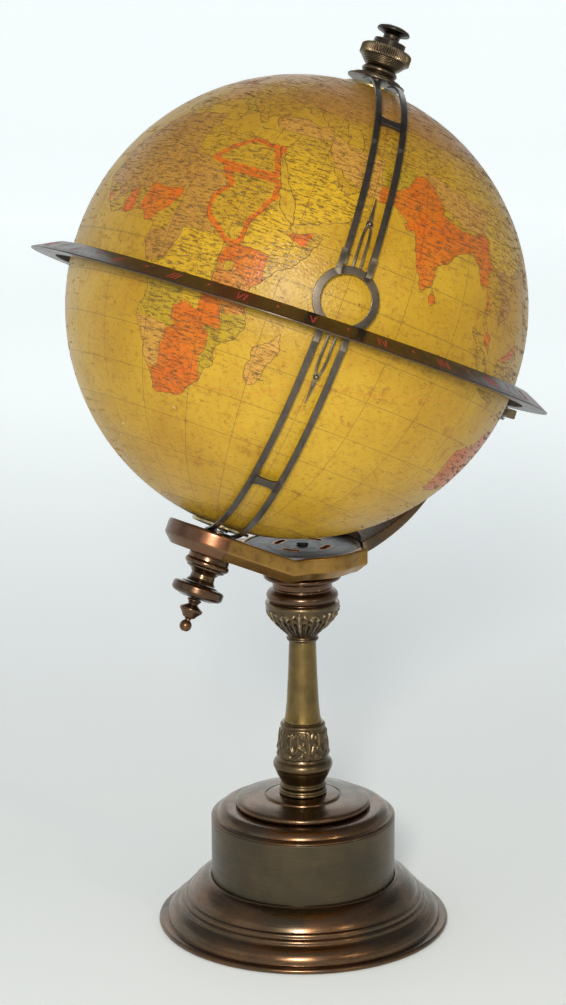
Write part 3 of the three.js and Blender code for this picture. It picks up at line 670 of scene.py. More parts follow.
def kidney(inner, outer, middle, half, low, high):
    """A curved slot with round ends, as a solid between two heights."""
    centre, thick = (inner + outer) / 2, (outer - inner) / 2
    reach = half - thick / centre
    sweep = [middle - reach + 2 * reach * i / 14 for i in range(15)]

    def round_end(angle, start):
        return [polar(thick, start + math.pi * i / 8, polar(centre, angle)) for i in range(1, 8)]

    ring = [polar(outer, angle) for angle in sweep] + round_end(middle + reach, middle + reach)
    ring += [polar(inner, angle) for angle in reversed(sweep)]
    ring += round_end(middle - reach, middle - reach + math.pi)
    points, faces = loft([[(x, y, low) for x, y in ring], [(x, y, high) for x, y in ring]])
    return shell("kidney", points, faces, ON_STAND, BRASS_EDGE)


def calendar_dial():
    """A grey disc with four kidney slots in pale rims, a scale round its edge and a dark hook-shaped mark."""
    low, top = DIAL_FLOOR + 0.3, HEAD_TOP - 0.4
    outline = eased([(1.8, low), (DIAL_RADIUS, low), (DIAL_RADIUS, top), (1.8, top)], 0.35)
    dial = shell("calendar_dial_fine", *lathe(outline, 160), ON_STAND, DIAL_GREY)
    half = math.radians(21)
    middles = [math.radians(30 + 90 * i) for i in range(4)]
    flat_shading(carve(dial, [kidney(13, 16.4, middle, half, low - 2, top + 2) for middle in middles]))
    settle(dial, "stand", ["calendar_dial"])
    for i, middle in enumerate(middles):
        rim = kidney(12.3, 17.1, middle, half + 0.045, top - 0.2, top + 0.07)
        carve(rim, [kidney(12.95, 16.45, middle, half, top - 2, top + 2)])
        rim.name = f"dial_slot_rim_{i + 1}"
        settle(rim, "stand")

    ticks, divisions, scale_radius, above = [], 124, 32.3, top + 0.03
    for i in range(divisions):
        angle = 2 * math.pi * i / divisions
        inner = 29.6 if i % 4 == 0 else 30.9
        ticks.append(bar((*polar(inner, angle), above), (*polar(scale_radius, angle), above), 0.26, 0.1))
    settle(gathered("dial_scale", ticks, ON_STAND, TICK_BRASS), "stand")
    # A dark hook-shaped mark, and three thin dark rings.
    hook = [(14.6, -30), (16, -29.4), (18.6, -27.4), (21.2, -24.6), (23.4, -21.2), (25, -17.6),
            (26, -14.2), (26.2, -11.4), (25.4, -9.6)]
    strokes = [bar((*start, above), (*end, above), 0.75, 0.1) for start, end in zip(hook, hook[1:])]
    for radius in (28.6, 19.4, 10.2):
        ring = [(*polar(radius, math.radians(4 * i)), top + 0.02) for i in range(91)]
        strokes += [bar(start, end, 0.2, 0.08) for start, end in zip(ring, ring[1:])]
    settle(gathered("dial_dark_lines", strokes, ON_STAND, DARK_LINES), "stand")


def bar(start, end, width, thick):
    """A thin box from start to end, as points and faces."""
    start, end = Vector(start), Vector(end)
    along = (end - start).normalized()
    side = along.cross(Vector((0, 0, 1))).normalized() * width / 2
    up = Vector((0, 0, thick / 2))
    section = [side - up, side + up, -side + up, -side - up]
    return loft([[tuple(start + corner) for corner in section], [tuple(end + corner) for corner in section]])


def shifted(across, side):
    return Matrix.Translation(Vector((across, side, 0)) * MM)


def cylinder(name, radius, low, high, place, material, sides):
    """A plain tool for cutting or joining, which doesn't stay on its own."""
    return shell(name, *lathe([(0, low), (radius, low), (radius, high), (0, high)], sides), place, material)


def gathered(name, parts, place, material):
    """Several closed shapes in one mesh."""
    points, faces = [], []
    for part_points, part_faces in parts:
        shift = len(points)
        if volume_of(np.asarray(part_points, float), part_faces) < 0:
            part_faces = [list(reversed(face)) for face in part_faces]
        points += list(part_points)
        faces += [[corner + shift for corner in face] for face in part_faces]
    return shell(name, points, faces, place, material)


def slotted_screw(name, body, radius, head_radius, tip, under_head, head_height, place, material):
    up = 1 if under_head > tip else -1
    top = under_head + up * head_height
    outline = [(0, tip), (radius, tip), (radius, under_head), (head_radius, under_head),
               (head_radius, under_head + up * head_height * 0.5),
               (head_radius * 0.8, under_head + up * head_height * 0.9), (0, top)]
    points, faces = lathe(eased(outline, 0.12), 32)
    screw = shell(name + "_fine", points, faces, place, material)
    slot = loft([[(x, y, z) for x, y in ((-9, -0.3), (9, -0.3), (9, 0.3), (-9, 0.3))]
                 for z in sorted((top - up * head_height * 0.45, top + up * 3))])
    carve(screw, [shell("slot", *slot, place, material)])
    settle(screw, body, [name])


def stand():
    turned("felt_pad_fine", [(0, 0), (76, 0), (76, 2), (0, 2)], "stand", FELT, sides=128)
    base_flange()
    base_drum()
    base_cap()
    column_foot()
    leaf_collar()
    column_shaft()
    capital_vase()
    capital_bead()
    column_flange()
    turned("swivel_washer_fine", [(TIE_BORE, 208.3), (15, 208.3), (15, 210.2), (TIE_BORE, 210.2)], "stand",
           PALE_BRASS)
    calendar_dial()
    slotted_screw("dial_screw", "stand", 1.5, 3.4, 218.8, HEAD_TOP - 0.1, 1.2, ON_STAND, DIAL_GREY)
    for node in ("tie_rod", "tie_nut", "tie_washer", "swivel_pin"):
        paint_node(node, STEEL)


def paint_node(node, material):
    """Gives a CAD node that stays as it is a material of its own."""
    mesh = frame["nodes"][node].data
    mesh.materials.clear()
    mesh.materials.append(material)


# =================================================================== head
def on_pole(across, along, side):
    point = ON_POLE @ (Vector((across, side, along)) * MM)
    return point / MM


def bend(along, height):
    """Where a plane square to the pole meets a height above the table."""
    centre = GLOBE_CENTRE / MM
    reach = (along - (height - centre.z) * math.cos(TILT)) / math.sin(TILT)
    return Vector((centre.x + reach, 0, height))


def inset(outline, distance):
    """The closed outline moved inward."""
    result = []
    for i, corner in enumerate(outline):
        here = Vector(corner)
        back = (here - Vector(outline[i - 1])).normalized()
        ahead = (Vector(outline[(i + 1) % len(outline)]) - here).normalized()
        along = (back + ahead).normalized()
        inward = Vector((-along.y, along.x))
        share = max(0.5, inward.dot(Vector((-back.y, back.x))))
        moved = here + inward * distance / share
        result.append((moved.x, moved.y))
    return result


def head_ring(outline, distance, bend_x):
    """The head's outline moved inward, with its two end corners rounded, and which points lie on the bend."""
    moved = inset(outline, distance)
    ring, bends = [], []
    fillet = max(0.4, 1.6 - distance)
    for i, corner in enumerate(moved):
        if abs(outline[i][0] - bend_x) < 1e-3:
            bends.append(len(ring))
            ring.append((bend_x, corner[1]))
        elif i in (0, len(moved) - 1):
            here = Vector(corner)
            back = (Vector(moved[i - 1]) - here).normalized() * fillet
            ahead = (Vector(moved[(i + 1) % len(moved)]) - here).normalized() * fillet
            ring += [tuple(here + back * (1 - t) ** 2 + ahead * t ** 2) for t in (0, 0.25, 0.5, 0.75, 1)]
        else:
            ring.append(corner)
    return ring, bends


def head_casting():
    """One bent casting, in layers from top to bottom. Its outline runs round its flat and its tilted part."""
    bend_top, bend_bottom = bend(PLATE_TOP, HEAD_TOP), bend(PLATE_UNDERSIDE, HEAD_UNDERSIDE)
    shift = bend_top.x - (ON_POLE.inverted() @ (bend_top * MM)).x / MM
    width, dial_width, end_width = 32, 36, 31
    half_turn = math.degrees(math.asin(width / dial_width))
    shoulder_turn = math.degrees(math.acos(SHOULDER / BOSS_RADIUS))
    upper = [(HEAD_END, end_width), *arc((0, 0), dial_width, half_turn, 180 - half_turn, 6),
             (bend_top.x, width - 0.5), *arc((shift, 0), BOSS_RADIUS, shoulder_turn, 180, 5)]
    outline = upper + [(x, -y) for x, y in reversed(upper[:-1])]
    thickness = HEAD_TOP - HEAD_UNDERSIDE
    chamfer = 5
    start = thickness - chamfer
    layers = [(1.3, 0), (0.75, 0.08), (0.38, 0.32), (0.12, 0.7), (0, 1.3), (0, 2.4), (0, start - 1.2),
              (0.04, start - 0.4), (0.35, start + 0.35), (chamfer - 0.35, thickness - 0.35),
              (chamfer + 0.3, thickness - 0.02), (chamfer + 1, thickness)]
    points = []
    for distance, depth in layers:
        ring, bends = head_ring(outline, distance, bend_top.x)
        share = depth / thickness
        for i, (along, side) in enumerate(ring):
            if i in bends:
                at = bend_top.lerp(bend_bottom, share)
                points.append((at.x, side, at.z))
            elif along > bend_top.x:
                points.append((along, side, HEAD_TOP - depth))
            else:
                up_pole = PLATE_TOP + (PLATE_UNDERSIDE - PLATE_TOP) * share
                points.append(tuple(on_pole(along - shift, up_pole, side)))
    count = len(ring)
    faces = []
    for layer in range(len(layers) - 1):
        above, below = layer * count, (layer + 1) * count
        for c in range(count):
            d = (c + 1) % count
            faces.append([above + c, below + c, below + d, above + d])
    first, second = bends
    tilted = list(range(first, second + 1))
    level = list(range(second, count)) + list(range(first + 1))
    bottom = (len(layers) - 1) * count
    faces += [tilted, level, [bottom + c for c in reversed(tilted)], [bottom + c for c in reversed(level)]]
    casting = shell("head_casting_fine", points, faces, ON_STAND, HEAD_BRONZE)

    def drill(radius, low, high, place):
        return cylinder("drill", radius, low, high, place, HEAD_BRONZE, 128)

    play = 0.3
    side, low, high = TONGUE_HALF_WIDTH + play, TONGUE_BOTTOM - play, TONGUE_TOP + play
    slot = loft([[(x, -side, low), (x, side, low), (x, side, high), (x, -side, high)]
                 for x in (TONGUE_START - play, HEAD_END + 6)])
    carve(casting, [
        drill(DIAL_RADIUS + play, DIAL_FLOOR, HEAD_TOP + 30, ON_STAND),
        drill(PIN_HEAD_ROOM, 200, DIAL_FLOOR + 5, ON_STAND),
        drill(HUB_ROOM_RADIUS, HUB_ROOM_FLOOR, PLATE_TOP + 20, ON_POLE),
        drill(ROD_BORE, PLATE_UNDERSIDE - 20, PLATE_TOP + 20, ON_POLE),
        shell("slot", *slot, ON_STAND, HEAD_BRONZE),
    ])
    settle(flat_shading(casting), "head", ["head_casting"])


def ring_arm():
    """A strap bent round the globe's centre, with a tongue at its root and a curved foot at its top."""
    stops, root, top = 56, 35.6, 86.6             # root and top are degrees from the south pole
    inner, top_outer = 136, 139.6
    strap = []
    for i in range(stops + 1):
        part = i / stops
        angle = math.radians(root + (top - root) * part)
        outer = top_outer + 4 * (1 - part) ** 2
        half_width = 11 + 12.5 * max(0, 1 - part / 0.52) ** 0.7
        section = []
        for side, radius in rounded_box(half_width, inner, outer, 0.9):
            reach = math.sqrt(radius ** 2 - side ** 2)
            section.append((reach * math.sin(angle), side, -reach * math.cos(angle)))
        strap.append(section)
    arm = shell("ring_arm_fine", *loft(strap), ON_POLE, DARK_BRONZE)
    middle, half = (FOOT_BOTTOM + FOOT_TOP) / 2, (FOOT_TOP - FOOT_BOTTOM) / 2
    foot = [[(*polar(radius, math.radians(degrees)), middle + along)
             for along, radius in rounded_box(half, FOOT_INNER, FOOT_OUTER, 0.7)]
            for degrees in range(-20, 21, 2)]
    joined = [shell("foot", *loft(foot), ON_RING, DARK_BRONZE)]
    reach = (FOOT_INNER + FOOT_OUTER) / 2
    for hand, side in (("left", -1), ("right", 1)):
        spot = ON_RING @ shifted(*polar(reach, side * RING_SCREW_ANGLE))
        joined.append(cylinder("pad", 2.6, FOOT_TOP - 1, RING_UNDERSIDE - 0.3, spot, DARK_BRONZE, 32))
        slotted_screw("ring_screw_" + hand, "head", 1.3, 2.6, RING_UNDERSIDE + 3.4, FOOT_BOTTOM - 0.3, 1.6,
                      spot, STEEL)
        slotted_screw("arm_screw_" + hand, "head", 1.5, 2.8, TONGUE_BOTTOM - 0.3, HEAD_UNDERSIDE - 0.3, 0.1,
                      shifted(18, side * 8), STEEL)
    section = rounded_box(TONGUE_HALF_WIDTH, TONGUE_BOTTOM, TONGUE_TOP, 0.5)
    tongue = loft([[(x, y, z) for y, z in section] for x in (TONGUE_START, TONGUE_END)])
    joined.append(shell("tongue", *tongue, ON_STAND, DARK_BRONZE))
    carve(arm, joined, "UNION")
    carve(arm, [cylinder("room", DIAL_RADIUS + 0.3, DIAL_FLOOR, HEAD_TOP + 10, ON_STAND, DARK_BRONZE, 96)])
    settle(flat_shading(arm), "head", ["ring_arm"])


def hour_ring():
    outline = [(RING_BORE, RING_UNDERSIDE), (RING_EDGE, RING_UNDERSIDE), (RING_EDGE, RING_UNDERSIDE + 0.6),
               (RING_BORE + 0.5, RING_SHOULDER), (RING_BORE, RING_SHOULDER)]
    turned("hour_ring_fine", outline, "head", RING_BRASS, ON_RING, 288, 0.2)
    strokes, marks = [], []
    hours, ticks = 24, 8
    for hour in range(hours):
        bearing = 2 * math.pi * hour / hours
        strokes += numeral(hour % 12 + 1, bearing)
        half_hour = bearing + math.pi / hours
        marks.append(ring_bar(half_hour, 0, 0.8, half_hour, 0, 3.2, 1.5))
        for tick in range(1, ticks):
            turn = bearing + 2 * math.pi * tick / hours / ticks
            marks.append(ring_bar(turn, 0, -5.8, turn, 0, -4.6, 0.3))
    settle(gathered("hour_numbers", strokes, ON_RING, HOUR_RED), "head")
    settle(gathered("hour_marks", marks, ON_RING, HOUR_RED), "head")


def ring_point(bearing, aside, up):
    """A point on the ring's sloping face: aside along the ring, up toward its bore."""
    slope = math.atan2(RING_SHOULDER - RING_UNDERSIDE - 0.6, RING_EDGE - RING_BORE - 0.5)
    middle_radius = (RING_EDGE + RING_BORE + 0.5) / 2
    middle_height = (RING_UNDERSIDE + 0.6 + RING_SHOULDER) / 2
    radius = middle_radius - up * math.cos(slope)
    turn = bearing - aside / middle_radius
    height = middle_height + up * math.sin(slope)
    return Vector((*polar(radius, turn), height))


def ring_bar(bearing, aside, up, end_bearing, end_aside, end_up, width):
    """A flat stroke on the sloping face, 0.05 mm proud of it."""
    start, end = ring_point(bearing, aside, up), ring_point(end_bearing, end_aside, end_up)
    slope_normal = (ring_point(bearing, 1, up) - ring_point(bearing, 0, up)).cross(
        ring_point(bearing, 0, up + 1) - ring_point(bearing, 0, up)).normalized()
    if slope_normal.z < 0:
        slope_normal = -slope_normal
    side = (end - start).normalized().cross(slope_normal) * width / 2
    high, low = slope_normal * 0.05, slope_normal * -0.1
    section = [side + low, side + high, -side + high, -side + low]
    return loft([[tuple(start + corner) for corner in section], [tuple(end + corner) for corner in section]])


def numeral(number, bearing):
    """Roman numeral strokes, with tops toward the bore."""
    text = "I II III IV V VI VII VIII IX X XI XII".split()[number - 1]
    widths = {"I": 2.1, "V": 4.0, "X": 4.2}
    half, thick, thin, gap = 3.7, 1.1, 0.7, 0.4
    place = -sum(widths[letter] for letter in text) / 2
    strokes = []
    for letter in text:
        room = widths[letter]
        middle, left, right = place + room / 2, place + gap, place + room - gap
        lines = {"I": [(middle, -half, middle, half, thick)],
                 "V": [(left, half, middle, -half, thick), (right, half, middle, -half, thin)],
                 "X": [(left, half, right, -half, thick), (right, half, left, -half, thin)]}[letter]
        strokes += [ring_bar(bearing, x0, y0, bearing, x1, y1, width) for x0, y0, x1, y1, width in lines]
        place += room
    return strokes


def head():
    head_casting()
    ring_arm()
    hour_ring()
    collar = [(ROD_BORE, -144.6), (11.4, -144.6), (11.6, -146.8), *arc((10.7, -149.2), 1.9, 60, -50),
              (10.8, -151.4), (10.6, -152.2), (8, -153.4), (6.7, -155.4), (7, -158), (8.6, -160.2),
              (ROD_BORE, -160.2)]
    turned("lower_collar_fine", collar, "head", DARK_BRONZE, ON_POLE)
    flats, corner_radius = 6, 10.2

    def hexagon(angle, radius, height):
        turn = angle % (2 * math.pi / flats) - math.pi / flats
        return min(radius, corner_radius * math.cos(math.pi / flats) / math.cos(turn))

    outline = [(ROD_BORE, 151.6), (9.5, 151.6), (corner_radius, 152), (corner_radius, 155), (9.3, 155.5),
               (5, 155.5), (ROD_BORE, 155.5)]
    turned("hex_nut_fine", outline, "head", BLACK_BRASS, ON_POLE, 120, 0, hexagon)
    paint_node("polar_spindle", STEEL)


# =================================================================== noon meridian
def band_point(radius, latitude, side):
    across, up = polar(radius, math.radians(latitude))
    return across, side, up


def strip(inner, outer, side, width, start, end, steps, fillet=0.28):
    """A flat strip bent along the meridian between two latitudes."""
    sections = []
    for i in range(steps + 1):
        latitude = start + (end - start) * i / steps
        sections.append([band_point(radius, latitude, side + across)
                         for across, radius in rounded_box(width / 2, inner, outer, fillet, 2)])
    return loft(sections)


def cross_bar(latitude):
    """The bar between the rails, narrow in the middle and flared into them."""
    sections = []
    for i in range(25):
        stop = -1 + i / 12
        half = 2.5 * (1 + 0.95 * abs(stop) ** 3)
        sections.append([band_point(radius, latitude + math.degrees(across / radius), stop * RAIL_OFFSET)
                         for across, radius in rounded_box(half, RAIL_INNER, RAIL_OUTER, 0.28, 2)])
    return loft(sections)


def band(name, sign, place):
    """Two rails from the sight ring to a hub, with the cross bar between them."""
    ring_end, bar_middle, hub_end = sign * 7.3, sign * 48.5, sign * 87
    rails = []
    for side in (-1, 1):
        rail = strip(RAIL_INNER, RAIL_OUTER, side * RAIL_OFFSET, RAIL_WIDTH, ring_end, hub_end, 64)
        rails.append(shell("rail", *rail, place, BLACK_BRASS))
    whole = shell(name + "_fine", *cross_bar(bar_middle), place, BLACK_BRASS)
    carve(whole, rails, "UNION")
    settle(flat_shading(whole), "meridian", [name])


def pointer_ring():
    """The sight ring, bent to the globe, with four stubs that lie over the ends of the rails."""
    def bent(radius, reach, turn):
        out, aside = polar(radius, reach / radius)
        return out, *polar(aside, turn)

    outer, inner, sides = 17.1, 13, 96
    middle, half = (outer + inner) / 2, (outer - inner) / 2
    sections = []
    for i in range(sides):
        turn = 2 * math.pi * i / sides
        sections.append([bent(radius, middle + across, turn)
                         for across, radius in rounded_box(half, OVERLAY_INNER, OVERLAY_OUTER, 0.3, 2)])
    whole = shell("pointer_ring_fine", *loft(sections, True), ON_MERIDIAN, BLACK_BRASS)
    stubs = []
    for end in (-1, 1):
        for side in (-1, 1):
            place = -RAIL_OFFSET - 1.4 if end > 0 and side < 0 else side * RAIL_OFFSET
            stub = strip(OVERLAY_INNER, OVERLAY_OUTER, place, RAIL_WIDTH - 0.4, end * 6, end * 10.6, 6)
            stubs.append(shell("stub", *stub, ON_MERIDIAN, BLACK_BRASS))
    carve(whole, stubs, "UNION")
    settle(flat_shading(whole), "meridian", ["pointer_ring"])


def pointer(name, sign):
    """Two thin legs meet at a small ring eye with a bright pin, and a needle goes on from it."""
    high = RAIL_INNER + 1.1
    eye_latitude = 18
    parts = []
    for side in (-1, 1):
        route = [(6.2, 1.9), (10, 1.9), (14, 1.9), (15.4, 1.75), (16.6, 1.4), (17.4, 1.0)]
        parts.append(loft([[band_point(radius, sign * latitude, side * offset + across)
                            for across, radius in rounded_box(0.55, RAIL_INNER, high, 0.2, 2)]
                           for latitude, offset in route]))
    needle = []
    for latitude, half in ((18.6, 0.62), (19.4, 0.9), (20.6, 0.7), (22.6, 0.42), (24.6, 0.16)):
        top = high - 0.5 * (0.9 - half)
        needle.append([band_point(radius, sign * latitude, across)
                       for across, radius in rounded_box(half, RAIL_INNER, top, 0.1, 2)])
    parts.append(loft(needle))
    eye = []
    for i in range(32):
        turn = 2 * math.pi * i / 32
        section = []
        for across, radius in rounded_box(0.42, RAIL_INNER, high + 0.3, 0.2, 2):
            side, up = polar(1.28 + across, turn)
            section.append(band_point(radius, sign * eye_latitude + math.degrees(up / radius), side))
        eye.append(section)
    whole = gathered(name + "_fine", [*parts, loft(eye, True)], ON_MERIDIAN, BLACK_BRASS)
    settle(whole, "meridian", [name])
    lie = Matrix.Rotation(-math.radians(sign * eye_latitude), 4, "Y") @ Matrix.Rotation(math.pi / 2, 4, "Y")
    pin = lathe(eased([(0, RAIL_INNER + 0.1), (0.78, RAIL_INNER + 0.1), (0.78, high), (0.5, high + 0.35),
                       (0, high + 0.45)], 0.1), 24)
    settle(shell(name + "_pin", *pin, ON_MERIDIAN @ lie, PALE_BRASS), "meridian")


def milled(teeth, depth, low, high, inner):
    """Cuts straight teeth into a turned rim between two heights."""
    def relief(angle, radius, height):
        if radius < inner or not low < height < high:
            return 0.0
        return -depth * (0.5 - 0.5 * math.cos(angle * teeth))
    return relief


def levels(radius, low, high, count):
    return [(radius, low + (high - low) * i / count) for i in range(count + 1)]


def meridian():
    band("upper_band", 1, ON_MERIDIAN)
    band("lower_band", -1, ON_MERIDIAN)
    pointer_ring()
    pointer("upper_pointer", 1)
    pointer("lower_pointer", -1)
    north = [(ROD_BORE, 131.7), (CAP_RADIUS, 131.7), (CAP_RADIUS, 132.8), (13.6, 133), (13.6, 134.3),
             (11.2, 134.6), (10.2, 135.6), (8.9, 136.4), *arc((8.6, 138), 1.5, -60, 60), (8.2, 140.4),
                 (ROD_BORE, 140.4)]
    turned("north_hub_fine", north, "meridian", NUT_BRONZE, ON_MERIDIAN, 128)
    south = [(ROD_BORE, -134.2), (16.9, -134.2), *levels(17.2, -134.0, -132.2, 3), (16.6, -131.7),
             (7, -131.7), (7, -130), (ROD_BORE, -130)]
    turned("south_hub_fine", south, "meridian", BLACK_BRASS, ON_MERIDIAN, 360, 0,
           relief=milled(60, 0.7, -134.1, -132.1, 17))


# =================================================================== nuts, knobs and finial
def nuts_and_knobs():
    ridges = []
    for i in range(5):
        start = 141.4 + i * 0.72
        radius = 9.9 + i * 0.62
        ridges += [(radius, start), (radius + 0.5, start + 0.2), (radius + 0.5, start + 0.45),
                   (radius + 0.12, start + 0.6)]
    nut = [(ROD_BORE, 140.7), (9.4, 140.7), *ridges, (13, 144.9), (13.9, 145.3),
           *levels(14.4, 145.7, 150.3, 4), (14.1, 150.8), (13.6, 151.3), (ROD_BORE, 151.3)]
    turned("knurled_nut_fine", nut, "clamp_nut", NUT_BRONZE, ON_POLE, 432, 0,
           relief=milled(72, 0.5, 145.5, 150.5, 14.2))
    mushroom = [(0, 157.8), (ROD_BORE, 157.8), (ROD_BORE, 155.9), (5, 155.9), (4.6, 157), (4.7, 159),
                (5.6, 159.8), (7, 160.2), (9.2, 161), (9.5, 161.8), (8.8, 162.9), (6, 164.1), (3, 164.6),
                    (0, 164.7)]
    turned("mushroom_knob_fine", mushroom, "top_knob", BLACK_BRASS, ON_POLE, 96)
    disc = [(ROD_BORE, -160.6), (9.6, -160.6), (10.4, -161.4), (13.6, -161.8), (14.5, -162.8), (14.5, -166.2),
            (13.2, -167.6), (8.6, -169), (ROD_BORE, -169)]
    turned("disc_knob_fine", disc, "lower_knob", RED_BRONZE, ON_POLE, 128, 0.4)
    finial = [(0, -172.6), (1.7, -172.6), (1.7, -169.4), (3.4, -169.4), (4.2, -170.3), (3.2, -171.2),
              (2.6, -172.6), (4.6, -173.8), (6.5, -174.9), (6.4, -176.2), (4.4, -178.4), (3.4, -180),
              (1.7, -180.8), (1.6, -181.6), *arc((0, -184.8), 3.4, 62, -70, 11), (0, -188.1)]
    turned("lower_finial_fine", finial, "finial", RED_BRONZE, ON_POLE, 72, 0.35)


